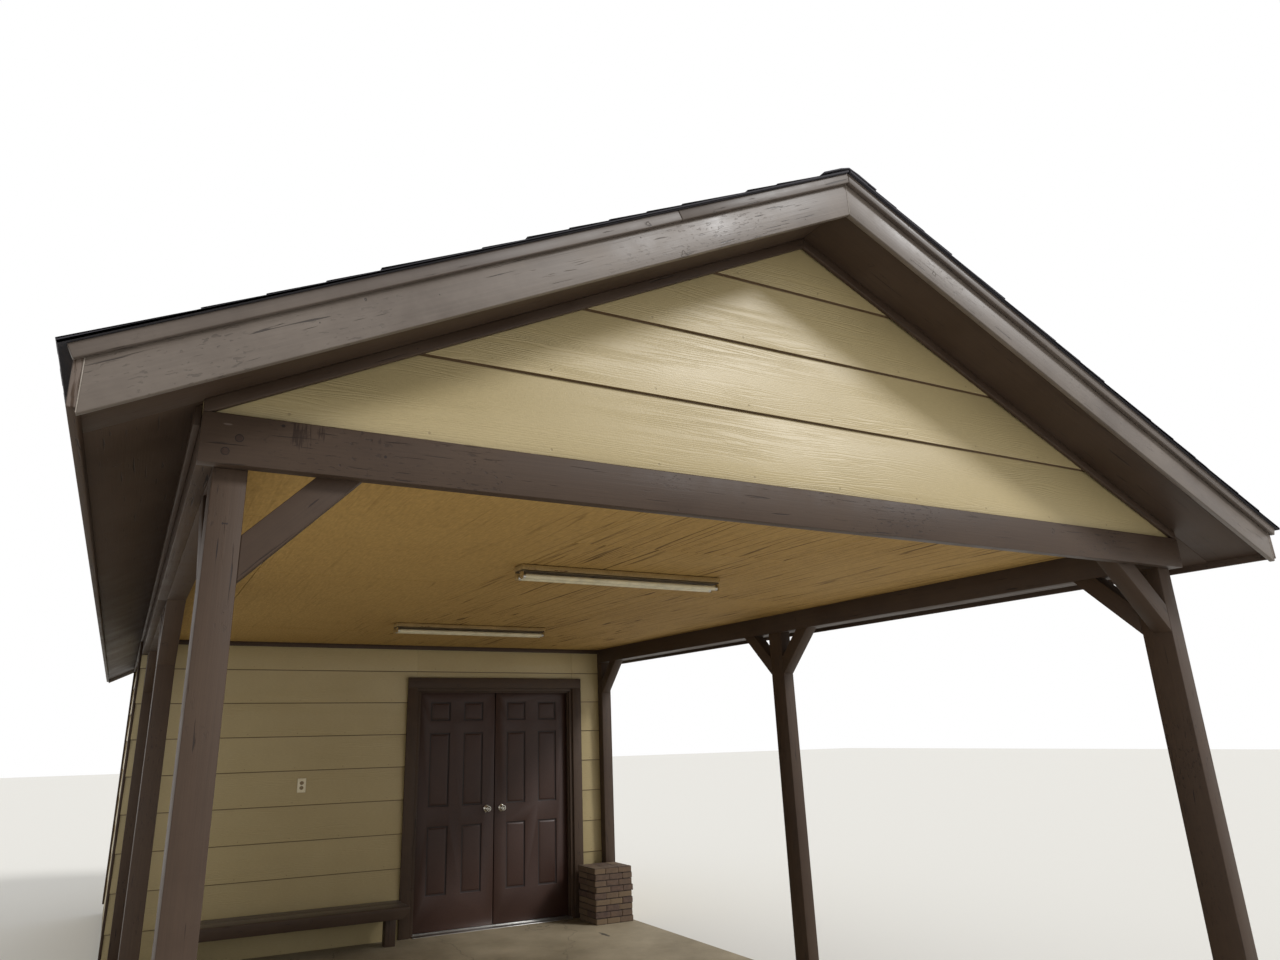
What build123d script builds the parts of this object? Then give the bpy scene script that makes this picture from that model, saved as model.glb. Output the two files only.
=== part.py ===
from build123d import *
import math
import os

# Carport with a storage room at its rear, in millimetres.
# X runs across, Y runs from the open front to the rear, Z runs up.
# The origin is on the underside of the floor slab, in the middle of the roof's plan.

# Overall frame
carport_width = 4380.0  # over the side beams' outer boards
bay_depth = 5860.0  # front beam's face to the storage room's siding
room_depth = 3658.0  # storage room, siding to siding
post_height = 2340.0
slab_thickness = 100.0

# Timber sizes
post_width = 89.0
post_depth = 140.0
rear_post_depth = 89.0
beam_width = 89.0
beam_height = 140.0
face_board = 43.0  # thick board planted on the outside of each beam
brace_width = 89.0
brace_reach = 305.0  # from the post to where the brace's underside meets the beam
timber_joint = 0.3  # left open where the ends of like pieces meet
joist_width = 38.0
joist_depth = 89.0
joist_spacing = 610.0

# Roof
roof_pitch = 26.0
heel_height = 34.0  # soffit above the beam's top, at the beam's outer face
eave_overhang = 269.0  # to the back of the eave fascia
gable_overhang = 266.0  # to the face of the rake board
soffit_thickness = 12.7
rafter_depth = 89.0
rafter_width = 38.0
ridge_board_width = 25.0
ridge_board_depth = 184.0
deck_thickness = 19.0
fascia_thickness = 22.0
fascia_height = 130.0
rake_board_width = 140.0
rake_mould_width = 38.0
rake_mould_thickness = 19.0
shingle_thickness = 14.0
shingle_eave_overhang = 33.0
shingle_rake_overhang = 11.0
ridge_gap = 6.0  # open under the ridge cap
ridge_cap_width = 150.0
ridge_cap_thickness = 8.0
rake_frieze_width = 38.0
frieze_thickness = 19.0
eave_frieze_height = 63.0

# Walls
siding_exposure = 279.4
siding_step = 11.0  # how far each board's lower edge stands out
gable_first_course = 288.0
gable_setback = 20.0  # siding behind the front beam's face
wall_framing = 89.0
corner_board_width = 89.0
corner_board_thickness = 19.0

# Ceiling
ceiling_thickness = 9.5
ceiling_trim_height = 38.0
ceiling_trim_thickness = 19.0

# Double door, opening inwards
door_post_gap = 206.5  # from the casing to the right posts
door_header = 248.0  # from the beams' underside to the frame's top
leaf_width = 760.0
leaf_thickness = 44.0
door_gap = 5.0
meeting_gap = 9.0
jamb_thickness = 38.0
jamb_depth = 105.0
casing_reveal = 31.0
casing_width = 94.0
casing_thickness = 19.0
stop_width = 12.0
stop_depth = 38.0
threshold_height = 12.0
threshold_nose = 35.0
threshold_lip = 4.0

# Door panels and the rails between them, the middle panels taking what is left
stile_width = 118.0
mullion_width = 134.0
bottom_rail = 284.0
bottom_panel = 570.0
lock_rail = 164.0
frieze_rail = 108.0
top_panel = 170.0
top_rail = 90.0
panel_recess = 9.0
panel_margin = 14.0  # flat bottom of the recess around the raised field
panel_field_rise = 6.0
panel_field_taper = 60.0  # degrees

# Door furniture
knob_height = 981.0  # above the leaf's foot
knob_backset = 70.0
knob_radius = 27.0
knob_projection = 62.0
neck_radius = 11.0
rose_radius = 32.0
rose_thickness = 7.0
hinge_length = 90.0
hinge_barrel_radius = 6.0
hinge_plate_thickness = 2.0
hinge_plate_width = 32.0
hinge_knuckle_gap = 0.5
hinge_clearance = 0.5  # between the barrels and the faces that they stand behind
hinge_foot_inset = 230.0  # lowest hinge's middle, above the leaf's foot
hinge_head_inset = 232.0  # highest hinge's middle, below the leaf's top

# Ceiling lights
light_length = 1219.0
light_width = 108.0
light_depth = 38.0
light_offsets = (46.0, 90.0)  # right of the middle
light_distances = (1714.0, 4220.0)  # back from the front beam's face
tube_radius = 13.0
tube_spacing = 64.0
tube_drop = 9.0  # open between housing and tubes
holder_thickness = 12.0
holder_width = 24.0
holder_depth = 38.0

# Outlet, bench and brick stack
outlet_height = 1275.0
outlet_position = 1360.0  # from the carport's left side
outlet_width = 70.0
outlet_plate_height = 114.0
outlet_thickness = 6.0
bench_post_gap = 284.5  # from the left posts to the bench's end
bench_height = 310.0
bench_casing_gap = 7.0  # between the bench and the door casing
bench_plank_width = 165.0
bench_plank_thickness = 38.0
bench_plank_gap = 4.0
bench_apron_height = 89.0
bench_end_nose = 26.0
bench_leg = 89.0
bench_leg_inset = 75.0
stack_width = 385.0
stack_depth = 345.0
stack_course = 51.5
stack_courses = 9

# Places worked out from the sizes above
half_width = carport_width / 2
slope = math.tan(math.radians(roof_pitch))
tilt = math.cos(math.radians(roof_pitch))
lean = math.sin(math.radians(roof_pitch))
front_y = -(bay_depth + room_depth) / 2  # face of the front beam
room_y = front_y + bay_depth  # storage room's front siding
rear_y = room_y + room_depth  # storage room's rear siding
floor_z = slab_thickness
beam_z = floor_z + post_height
plate_z = beam_z + beam_height  # top of the beams and of the room's walls
post_x = half_width - face_board  # outer face of the posts
post_inner_x = post_x - post_width
soffit_apex = plate_z + heel_height + half_width * slope
deck_rise = soffit_thickness + rafter_depth
shingle_rise = deck_rise + deck_thickness
wall_thickness = siding_step + wall_framing
gable_face = front_y + gable_setback
gable_back = gable_face + wall_thickness
rear_gable_back = rear_y - wall_thickness
rake_y = gable_overhang - front_y  # face of the rear rake board, and of the front one at -rake_y
fascia_x = half_width + eave_overhang  # back of the eave fascia
deck_x = fascia_x + fascia_thickness


def roof_z(x, rise):
    """Height at x of the roof plane that lies rise above the soffit's underside."""
    return soffit_apex - abs(x) * slope + rise / tilt


def block(x, y, z):
    """Square-cut timber, slab or board between pairs of coordinates."""
    with BuildSketch(Plane.XY.offset(z[0])) as section:
        with Locations(((x[0] + x[1]) / 2, (y[0] + y[1]) / 2)):
            Rectangle(x[1] - x[0], y[1] - y[0])
    extrude(section.sketch, amount=z[1] - z[0])


def prism_y(points, y, mode=Mode.ADD):
    """Outline in X and Z, carried along Y."""
    with BuildSketch(Plane.XZ.offset(-y[0])) as section:
        with BuildLine():
            Polyline(*points, close=True)
        make_face()
    extrude(section.sketch, amount=y[0] - y[1], mode=mode)


def prism_x(points, x):
    """Outline in Y and Z, carried along X."""
    with BuildSketch(Plane.YZ.offset(x[0])) as section:
        with BuildLine():
            Polyline(*points, close=True)
        make_face()
    extrude(section.sketch, amount=x[1] - x[0])


def slope_band(x, low, high, square=False):
    """Section of what lies along the roof's slope, between two rises; its foot is cut plumb or square."""
    end = x[0] - (high - low) * lean if square else x[0]
    return (
        (x[0], roof_z(x[0], low)),
        (end, roof_z(end, high)),
        (x[1], roof_z(x[1], high)),
        (x[1], roof_z(x[1], low)),
    )


def lap_outline(face, inward, base, top, line):
    """Section of a lap-sided wall: stepped boards outside, flat framing inside."""
    back = face + inward * wall_thickness
    start = 1 - (line - base) / siding_exposure
    points = [(back, base), (face + inward * siding_step * max(start, 0), base)]
    while line < top:
        points.append((face + inward * siding_step, line))
        points.append((face, line))
        line += siding_exposure
    end = 1 - (line - top) / siding_exposure
    points.append((face + inward * siding_step * end, top))
    points.append((back, top))
    return points


def first_line_above(z):
    """Lowest lap line over z, with the boards counted up from the floor."""
    return floor_z + math.ceil((z - floor_z + 1) / siding_exposure) * siding_exposure


def siding_depth(z):
    """How far the siding's surface lies behind its lap edges at height z."""
    return (z - floor_z) % siding_exposure / siding_exposure * siding_step


# Floor slab under posts and walls
with BuildPart() as floor_slab:
    block((-half_width, half_width), (front_y, rear_y), (0, floor_z))

# Posts: front, middle and against the storage room
front_post_y = front_y + face_board
middle_post_y = (front_post_y + room_y - post_depth) / 2
rear_post_y = room_y - rear_post_depth

with BuildPart() as posts:
    for y in (front_post_y, middle_post_y):
        block((-post_x, -post_inner_x), (y, y + post_depth), (floor_z, beam_z))
    block((-post_x, -post_inner_x), (rear_post_y, room_y), (floor_z, beam_z))
    mirror(about=Plane.YZ)

# Beams on the posts, with a thick board on each outer face
front_beam_back = front_post_y + beam_width
beam_inner_x = post_x - beam_width

with BuildPart() as beams:
    block((-post_x, post_x), (front_post_y, front_beam_back), (beam_z, plate_z))
    y = (front_beam_back + timber_joint, room_y)
    block((-post_x, -beam_inner_x), y, (beam_z, plate_z))
    block((beam_inner_x, post_x), y, (beam_z, plate_z))

with BuildPart() as beam_boards:
    block((-half_width, half_width), (front_y, front_post_y), (beam_z, plate_z))
    y = (front_post_y + timber_joint, room_y)
    block((-half_width, -post_x), y, (beam_z, plate_z))
    block((post_x, half_width), y, (beam_z, plate_z))

# Knee braces at 45 degrees, cut to post and beam
brace_cut = brace_width * math.sqrt(2)
brace_x = (-post_x, -post_x + brace_width)


def brace_outline(start, toward):
    """Brace beside a post whose face is at start, rising toward +1 or -1."""
    return (
        (start, beam_z - brace_reach),
        (start, beam_z - brace_reach + brace_cut),
        (start + toward * (brace_reach - brace_cut), beam_z),
        (start + toward * brace_reach, beam_z),
    )


with BuildPart() as knee_braces:
    prism_y(brace_outline(-post_inner_x, 1), (front_post_y, front_post_y + brace_width))
    prism_x(brace_outline(front_post_y + post_depth, 1), brace_x)
    prism_x(brace_outline(middle_post_y, -1), brace_x)
    prism_x(brace_outline(middle_post_y + post_depth, 1), brace_x)
    prism_x(brace_outline(rear_post_y, -1), brace_x)
    mirror(about=Plane.YZ)

# Gables: lap siding cut to the slope of the roof deck
gable_outline = (
    (-half_width, plate_z),
    (-half_width, roof_z(half_width, deck_rise)),
    (0, roof_z(0, deck_rise)),
    (half_width, roof_z(half_width, deck_rise)),
    (half_width, plate_z),
)
gable_top = roof_z(0, deck_rise)

with BuildPart() as gable_front:
    outline = lap_outline(gable_face, 1, plate_z, gable_top, plate_z + gable_first_course)
    prism_x(outline, (-half_width, half_width))
    prism_y(gable_outline, (front_y, room_y), Mode.INTERSECT)

with BuildPart() as gable_rear:
    outline = lap_outline(rear_y, -1, plate_z, gable_top, first_line_above(plate_z))
    prism_x(outline, (-half_width, half_width))
    prism_y(gable_outline, (room_y, rear_y), Mode.INTERSECT)

# Storage room walls, the front one split beside and over the doorway
door_half = leaf_width + door_gap + meeting_gap / 2
frame_half = door_half + jamb_thickness
casing_inner = door_half + casing_reveal
casing_outer = casing_inner + casing_width
door_centre = post_inner_x - door_post_gap - casing_outer
door_left_x = door_centre - door_half
door_right_x = door_centre + door_half
frame_top = beam_z - door_header
head_z = frame_top - jamb_thickness
leaf_foot = floor_z + threshold_height + door_gap
leaf_top = head_z - door_gap
room_back_y = room_y + wall_thickness
front_wall = lap_outline(room_y, 1, floor_z, plate_z, first_line_above(floor_z))

with BuildPart() as room_front_left:
    prism_x(front_wall, (-half_width, door_centre - frame_half))

with BuildPart() as room_front_right:
    prism_x(front_wall, (door_centre + frame_half, half_width))

with BuildPart() as room_front_head:
    outline = lap_outline(room_y, 1, frame_top, plate_z, first_line_above(frame_top))
    prism_x(outline, (door_centre - frame_half, door_centre + frame_half))

with BuildPart() as room_rear_wall:
    outline = lap_outline(rear_y, -1, floor_z, plate_z, first_line_above(floor_z))
    prism_x(outline, (-half_width, half_width))

with BuildPart() as room_side_walls:
    outline = lap_outline(-half_width, 1, floor_z, plate_z, first_line_above(floor_z))
    prism_y(outline, (room_back_y, rear_gable_back))
    mirror(about=Plane.YZ)

# Corner boards, up to the frieze under the eaves
eave_frieze_z = roof_z(half_width, 0) - eave_frieze_height
corner_x = half_width + corner_board_thickness
corner_y = rear_y + corner_board_thickness

with BuildPart() as corner_boards:
    block((-corner_x, -half_width), (room_y, room_y + corner_board_width), (floor_z, eave_frieze_z))
    block((-corner_x, -half_width), (rear_y - corner_board_width, corner_y), (floor_z, eave_frieze_z))
    inner_x = -corner_x + corner_board_width
    block((-half_width, inner_x), (rear_y, corner_y), (floor_z, eave_frieze_z))
    mirror(about=Plane.YZ)

# Ceiling joists, their ends cut to the rafters, and the rafters over them
joist_run = rear_gable_back - gable_back - joist_width
joist_count = int(joist_run // joist_spacing) + 1
joist_start = gable_back + (joist_run - (joist_count - 1) * joist_spacing) / 2
joist_ys = [joist_start + i * joist_spacing for i in range(joist_count)]
joist_top = plate_z + joist_depth
joist_corner = (roof_z(0, soffit_thickness) - joist_top) / slope

with BuildPart() as ceiling_joists:
    outline = (
        (-half_width, plate_z),
        (-half_width, roof_z(half_width, soffit_thickness)),
        (-joist_corner, joist_top),
        (joist_corner, joist_top),
        (half_width, roof_z(half_width, soffit_thickness)),
        (half_width, plate_z),
    )
    for y in joist_ys:
        prism_y(outline, (y, y + joist_width))

with BuildPart() as rafters:
    outline = slope_band((-fascia_x, -ridge_board_width / 2), soffit_thickness, deck_rise)
    for y in joist_ys:
        prism_y(outline, (y, y + rafter_width))
    mirror(about=Plane.YZ)

with BuildPart() as ridge_board:
    top = roof_z(ridge_board_width / 2, deck_rise)
    x = (-ridge_board_width / 2, ridge_board_width / 2)
    block(x, (gable_back, rear_gable_back), (top - ridge_board_depth, top))

# Roof deck, shingles and ridge cap
shingle_x = deck_x + shingle_eave_overhang
shingle_y = rake_y + rake_mould_thickness + shingle_rake_overhang
shingle_top = shingle_rise + shingle_thickness
cap_x = ridge_cap_width * tilt

with BuildPart() as roof_deck:
    outline = slope_band((-deck_x, -ridge_gap / 2), deck_rise, shingle_rise, square=True)
    prism_y(outline, (-rake_y, rake_y))
    mirror(about=Plane.YZ)

with BuildPart() as shingles:
    outline = slope_band((-shingle_x, -ridge_gap / 2), shingle_rise, shingle_top, square=True)
    prism_y(outline, (-shingle_y, shingle_y))
    mirror(about=Plane.YZ)

with BuildPart() as ridge_cap:
    top = shingle_top + ridge_cap_thickness
    prism_y(slope_band((-cap_x, 0), shingle_top, top), (-shingle_y, shingle_y))
    mirror(about=Plane.YZ)

# Eave fascias, rake boards and the small mould on the rake boards
fascia_low = roof_z(deck_x, deck_rise) - fascia_height
rake_back = rake_y - fascia_thickness

with BuildPart() as eave_fascias:
    outline = (
        (-deck_x, fascia_low),
        (-deck_x, roof_z(deck_x, deck_rise)),
        (-fascia_x, roof_z(fascia_x, deck_rise)),
        (-fascia_x, fascia_low),
    )
    prism_y(outline, (-rake_y, rake_y))
    mirror(about=Plane.YZ)

with BuildPart() as rake_boards:
    outline = slope_band((-fascia_x, -timber_joint / 2), deck_rise - rake_board_width, deck_rise)
    prism_y(outline, (-rake_y, -rake_back))
    mirror(about=Plane.YZ)
    mirror(about=Plane.XZ)

with BuildPart() as rake_moulds:
    low = shingle_rise - rake_mould_width
    outline = slope_band((-deck_x, -timber_joint / 2), low, shingle_rise, square=True)
    prism_y(outline, (-rake_y - rake_mould_thickness, -rake_y))
    mirror(about=Plane.YZ)
    mirror(about=Plane.XZ)

# Soffits: sloped boards under the rafters, along the gables and the eaves
with BuildPart() as rake_soffits:
    outline = slope_band((-fascia_x, -timber_joint / 2), 0, soffit_thickness)
    prism_y(outline, (-rake_back, gable_face))
    prism_y(outline, (rear_y, rake_back))
    mirror(about=Plane.YZ)

with BuildPart() as eave_soffits:
    outline = slope_band((-fascia_x, -half_width), 0, soffit_thickness)
    prism_y(outline, (gable_face, rear_y))
    mirror(about=Plane.YZ)

# Friezes under the soffits: on the gables, and along the side beams and side walls
frieze_corner = (roof_z(0, -rake_frieze_width) - plate_z) / slope

with BuildPart() as rake_friezes:
    outline = (
        (-half_width, plate_z),
        (-half_width, roof_z(half_width, 0)),
        (-timber_joint / 2, roof_z(timber_joint / 2, 0)),
        (-timber_joint / 2, roof_z(timber_joint / 2, -rake_frieze_width)),
        (-frieze_corner, plate_z),
    )
    prism_y(outline, (gable_face - frieze_thickness, gable_face))
    prism_y(outline, (rear_y, rear_y + frieze_thickness))
    mirror(about=Plane.YZ)

with BuildPart() as eave_friezes:
    frieze_x = half_width + frieze_thickness
    outline = (
        (-frieze_x, eave_frieze_z),
        (-frieze_x, roof_z(frieze_x, 0)),
        (-half_width, roof_z(half_width, 0)),
        (-half_width, eave_frieze_z),
    )
    prism_y(outline, (front_post_y, rear_y))
    mirror(about=Plane.YZ)

# Flat ceiling over the bay, with a trim along the room's wall
ceiling_z = plate_z - ceiling_thickness

with BuildPart() as ceiling:
    block((-beam_inner_x, beam_inner_x), (front_beam_back, room_y), (ceiling_z, plate_z))

with BuildPart() as ceiling_trim:
    y = (room_y - ceiling_trim_thickness, room_y)
    block((-beam_inner_x, beam_inner_x), y, (ceiling_z - ceiling_trim_height, ceiling_z))

# Door frame: jambs, head, stops, casing and threshold
frame_back = room_y + jamb_depth
leaf_front = frame_back - leaf_thickness
stop_back = leaf_front - door_gap
casing_z = head_z + casing_reveal
casing_y = (room_y - casing_thickness, room_y)

with BuildPart() as door_frame:
    z = (floor_z, head_z - timber_joint)
    block((door_centre - frame_half, door_left_x), (room_y, frame_back), z)
    block((door_right_x, door_centre + frame_half), (room_y, frame_back), z)
    x = (door_centre - frame_half, door_centre + frame_half)
    block(x, (room_y, frame_back), (head_z, frame_top))

with BuildPart() as door_stops:
    y = (stop_back - stop_depth, stop_back)
    z = (floor_z + threshold_height, head_z - stop_width - timber_joint)
    block((door_left_x, door_left_x + stop_width), y, z)
    block((door_right_x - stop_width, door_right_x), y, z)
    block((door_left_x, door_right_x), y, (head_z - stop_width, head_z))

with BuildPart() as door_casing:
    z = (floor_z, casing_z - timber_joint)
    block((door_centre - casing_outer, door_centre - casing_inner), casing_y, z)
    block((door_centre + casing_inner, door_centre + casing_outer), casing_y, z)
    x = (door_centre - casing_outer, door_centre + casing_outer)
    block(x, casing_y, (casing_z, casing_z + casing_width))

with BuildPart() as threshold:
    outline = (
        (room_y - threshold_nose, floor_z),
        (room_y - threshold_nose, floor_z + threshold_lip),
        (room_y, floor_z + threshold_height),
        (frame_back, floor_z + threshold_height),
        (frame_back, floor_z),
    )
    prism_x(outline, (door_left_x, door_right_x))

# Door leaves with six raised panels on each face
panel_width = (leaf_width - 2 * stile_width - mullion_width) / 2
lock_rail_z = leaf_foot + bottom_rail + bottom_panel
top_panel_z = leaf_top - top_rail - top_panel
panel_rows = (
    (leaf_foot + bottom_rail, lock_rail_z),
    (lock_rail_z + lock_rail, top_panel_z - frieze_rail),
    (top_panel_z, top_panel_z + top_panel),
)


def door_leaf(left_x):
    """Leaf whose left edge stands at left_x."""
    block((left_x, left_x + leaf_width), (leaf_front, frame_back), (leaf_foot, leaf_top))
    column_xs = (
        left_x + stile_width + panel_width / 2,
        left_x + leaf_width - stile_width - panel_width / 2,
    )
    for foot, head in panel_rows:
        height = head - foot
        centres = [(x, (foot + head) / 2) for x in column_xs]
        for face_y, out in ((leaf_front, 1), (frame_back, -1)):
            with BuildSketch(Plane.XZ.offset(-face_y)) as recess:
                with Locations(*centres):
                    Rectangle(panel_width, height)
            extrude(recess.sketch, amount=-out * panel_recess, mode=Mode.SUBTRACT)
            with BuildSketch(Plane.XZ.offset(-face_y - out * panel_recess)) as field:
                with Locations(*centres):
                    Rectangle(panel_width - 2 * panel_margin, height - 2 * panel_margin)
            extrude(field.sketch, amount=out * panel_field_rise, taper=panel_field_taper)


with BuildPart() as door_left:
    door_leaf(door_left_x + door_gap)

with BuildPart() as door_right:
    door_leaf(door_right_x - door_gap - leaf_width)


# Knobs on both faces of each leaf, and three hinges a leaf on the inside
hinge_y = frame_back + hinge_clearance + hinge_barrel_radius
knuckle = (hinge_length - 2 * hinge_knuckle_gap) / 3
frame_knuckles = (0, 2 * (knuckle + hinge_knuckle_gap))
leaf_knuckles = (knuckle + hinge_knuckle_gap,)
left_axis_x = door_left_x + door_gap / 2
right_axis_x = door_right_x - door_gap / 2
plate_shift = (door_gap - hinge_plate_thickness) / 2
hinge_middles = (
    leaf_foot + hinge_foot_inset,
    (leaf_foot + leaf_top) / 2,
    leaf_top - hinge_head_inset,
)


# Round knob on a rose, turned about Y, its rose against the plane of X and Z
with BuildPart() as door_knob:
    ball = knob_projection - knob_radius
    with BuildSketch(Plane.XY) as section:
        with BuildLine():
            Polyline(
                (0, -knob_projection),
                (0, 0),
                (rose_radius, 0),
                (rose_radius - rose_thickness / 2, -rose_thickness),
                (neck_radius, -rose_thickness),
                (neck_radius, -ball + knob_radius * 0.7),
                (knob_radius, -ball),
            )
            RadiusArc((knob_radius, -ball), (0, -knob_projection), -knob_radius)
        make_face()
    revolve(section.sketch, axis=Axis.Y)


def knob_pair(x):
    """Knob on each face of a leaf, at x."""
    z = leaf_foot + knob_height
    with Locations(Location((x, leaf_front, z)), Location((x, frame_back, z), (0, 0, 180))):
        add(door_knob.part)


def hinge_side(axis_x, plate_x, knuckle_feet):
    """Plates at plate_x and the knuckles around axis_x that belong to them."""
    half_plate = hinge_plate_thickness / 2
    for middle in hinge_middles:
        foot = middle - hinge_length / 2
        for start in knuckle_feet:
            with BuildSketch(Plane.XY.offset(foot + start)) as barrel:
                with Locations((axis_x, hinge_y)):
                    Circle(hinge_barrel_radius)
            extrude(barrel.sketch, amount=knuckle)
        y = (frame_back - hinge_plate_width, hinge_y - hinge_barrel_radius / 2)
        for start in knuckle_feet:
            z = (foot + start, foot + start + knuckle)
            block((plate_x - half_plate, plate_x + half_plate), y, z)
        y = (frame_back - hinge_plate_width, frame_back)
        block((plate_x - half_plate, plate_x + half_plate), y, (foot, foot + hinge_length))


with BuildPart() as frame_hinges:
    hinge_side(left_axis_x, left_axis_x - plate_shift, frame_knuckles)
    hinge_side(right_axis_x, right_axis_x + plate_shift, frame_knuckles)

with BuildPart() as door_left_hardware:
    hinge_side(left_axis_x, left_axis_x + plate_shift, leaf_knuckles)
    knob_pair(door_centre - meeting_gap / 2 - knob_backset)

with BuildPart() as door_right_hardware:
    hinge_side(right_axis_x, right_axis_x - plate_shift, leaf_knuckles)
    knob_pair(door_centre + meeting_gap / 2 + knob_backset)

# Two ceiling lights, each a channel with holders at its ends and two tubes
tube_z = ceiling_z - light_depth - tube_drop - tube_radius
light_places = [(offset, front_y + distance) for offset, distance in zip(light_offsets, light_distances)]

with BuildPart() as light_housings:
    for x, y in light_places:
        ends = (x - light_length / 2, x + light_length / 2)
        sides = (y - light_width / 2, y + light_width / 2)
        low = ceiling_z - light_depth
        block(ends, sides, (low, ceiling_z))
        for end in (ends[0], ends[1] - holder_thickness):
            for tube_y in (y - tube_spacing / 2, y + tube_spacing / 2):
                width = (tube_y - holder_width / 2, tube_y + holder_width / 2)
                block((end, end + holder_thickness), width, (low - holder_depth, low))

with BuildPart() as light_tubes:
    for x, y in light_places:
        with BuildSketch(Plane.YZ.offset(x - light_length / 2 + holder_thickness)) as tubes:
            with Locations((y, tube_z)):
                with GridLocations(tube_spacing, 1, 2, 1):
                    Circle(tube_radius)
        extrude(tubes.sketch, amount=light_length - 2 * holder_thickness)

# Outlet plate on the room's wall
outlet_x = outlet_position - half_width
outlet_z = floor_z + outlet_height
with BuildPart() as outlet_plate:
    x = (outlet_x - outlet_width / 2, outlet_x + outlet_width / 2)
    z = (outlet_z - outlet_plate_height / 2, outlet_z + outlet_plate_height / 2)
    seat = room_y + siding_depth(z[0])
    block(x, (seat - outlet_thickness, seat), z)

# Bench against the wall, left of the door
bench_left = -post_inner_x + bench_post_gap
bench_right = door_centre - casing_outer - bench_casing_gap
bench_depth = 2 * bench_plank_width + bench_plank_gap + bench_plank_thickness
bench_front = room_y - bench_depth
seat_z = floor_z + bench_height
apron_back = bench_front + bench_plank_thickness

with BuildPart() as bench_seat:
    for i in range(2):
        y = apron_back + i * (bench_plank_width + bench_plank_gap)
        z = (seat_z - bench_plank_thickness, seat_z)
        block((bench_left, bench_right), (y, y + bench_plank_width), z)

with BuildPart() as bench_apron:
    low = seat_z - bench_apron_height
    clip = bench_apron_height - bench_end_nose
    outline = (
        (bench_left, seat_z),
        (bench_right, seat_z),
        (bench_right, seat_z - bench_end_nose),
        (bench_right - clip, low),
        (bench_left + clip, low),
        (bench_left, seat_z - bench_end_nose),
    )
    prism_y(outline, (bench_front, apron_back))

with BuildPart() as bench_legs:
    y = (room_y - bench_depth / 2 - bench_leg / 2, room_y - bench_depth / 2 + bench_leg / 2)
    z = (floor_z, seat_z - bench_plank_thickness)
    block((bench_left + bench_leg_inset, bench_left + bench_leg_inset + bench_leg), y, z)
    block((bench_right - bench_leg_inset - bench_leg, bench_right - bench_leg_inset), y, z)

# Dry-laid brick stack in front of the rear right post
with BuildPart() as brick_stack:
    y = (rear_post_y - stack_depth, rear_post_y)
    z = (floor_z, floor_z + stack_course * stack_courses)
    block((post_x - stack_width, post_x), y, z)

pieces = {
    "floor_slab": floor_slab,
    "posts": posts,
    "beams": beams,
    "beam_boards": beam_boards,
    "knee_braces": knee_braces,
    "gable_front": gable_front,
    "gable_rear": gable_rear,
    "room_front_left": room_front_left,
    "room_front_right": room_front_right,
    "room_front_head": room_front_head,
    "room_rear_wall": room_rear_wall,
    "room_side_walls": room_side_walls,
    "corner_boards": corner_boards,
    "ceiling_joists": ceiling_joists,
    "rafters": rafters,
    "ridge_board": ridge_board,
    "roof_deck": roof_deck,
    "shingles": shingles,
    "ridge_cap": ridge_cap,
    "eave_fascias": eave_fascias,
    "rake_boards": rake_boards,
    "rake_moulds": rake_moulds,
    "rake_soffits": rake_soffits,
    "eave_soffits": eave_soffits,
    "rake_friezes": rake_friezes,
    "eave_friezes": eave_friezes,
    "ceiling": ceiling,
    "ceiling_trim": ceiling_trim,
    "door_frame": door_frame,
    "door_stops": door_stops,
    "door_casing": door_casing,
    "threshold": threshold,
    "door_left": door_left,
    "door_right": door_right,
    "frame_hinges": frame_hinges,
    "door_left_hardware": door_left_hardware,
    "door_right_hardware": door_right_hardware,
    "light_housings": light_housings,
    "light_tubes": light_tubes,
    "outlet_plate": outlet_plate,
    "bench_seat": bench_seat,
    "bench_apron": bench_apron,
    "bench_legs": bench_legs,
    "brick_stack": brick_stack,
}

os.makedirs("parts", exist_ok=True)
for name, piece in pieces.items():
    piece.part.label = name
    export_step(piece.part, f"parts/{name}.step")
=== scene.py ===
import functools
import math
import random
import bpy
from mathutils import Matrix, Vector


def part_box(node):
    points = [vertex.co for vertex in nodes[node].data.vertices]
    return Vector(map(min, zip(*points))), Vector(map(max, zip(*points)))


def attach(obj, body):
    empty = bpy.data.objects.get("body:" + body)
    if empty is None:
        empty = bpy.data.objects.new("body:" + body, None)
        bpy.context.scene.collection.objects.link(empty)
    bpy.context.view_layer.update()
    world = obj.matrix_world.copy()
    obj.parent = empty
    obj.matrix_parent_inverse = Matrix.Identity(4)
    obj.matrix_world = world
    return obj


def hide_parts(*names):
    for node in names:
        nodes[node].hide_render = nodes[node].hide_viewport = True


# Carport with a storage room: painted timber, lap siding and a shingle roof, in metres.
# X runs across, Y from the open front to the rear, Z up.
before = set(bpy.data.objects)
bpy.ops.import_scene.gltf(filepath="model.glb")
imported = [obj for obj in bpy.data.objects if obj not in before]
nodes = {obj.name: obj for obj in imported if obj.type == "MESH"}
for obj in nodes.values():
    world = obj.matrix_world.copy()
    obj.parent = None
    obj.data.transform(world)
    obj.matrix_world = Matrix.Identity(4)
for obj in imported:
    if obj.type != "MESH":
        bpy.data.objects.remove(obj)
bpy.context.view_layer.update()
print("frame loaded")

# places read from the frame, and the roof's slope
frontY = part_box("beam_boards")[0].y
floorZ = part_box("floor_slab")[1].z
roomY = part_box("room_front_left")[0].y
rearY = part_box("floor_slab")[1].y
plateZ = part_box("beams")[1].z
roofPitch = math.radians(26)

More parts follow.
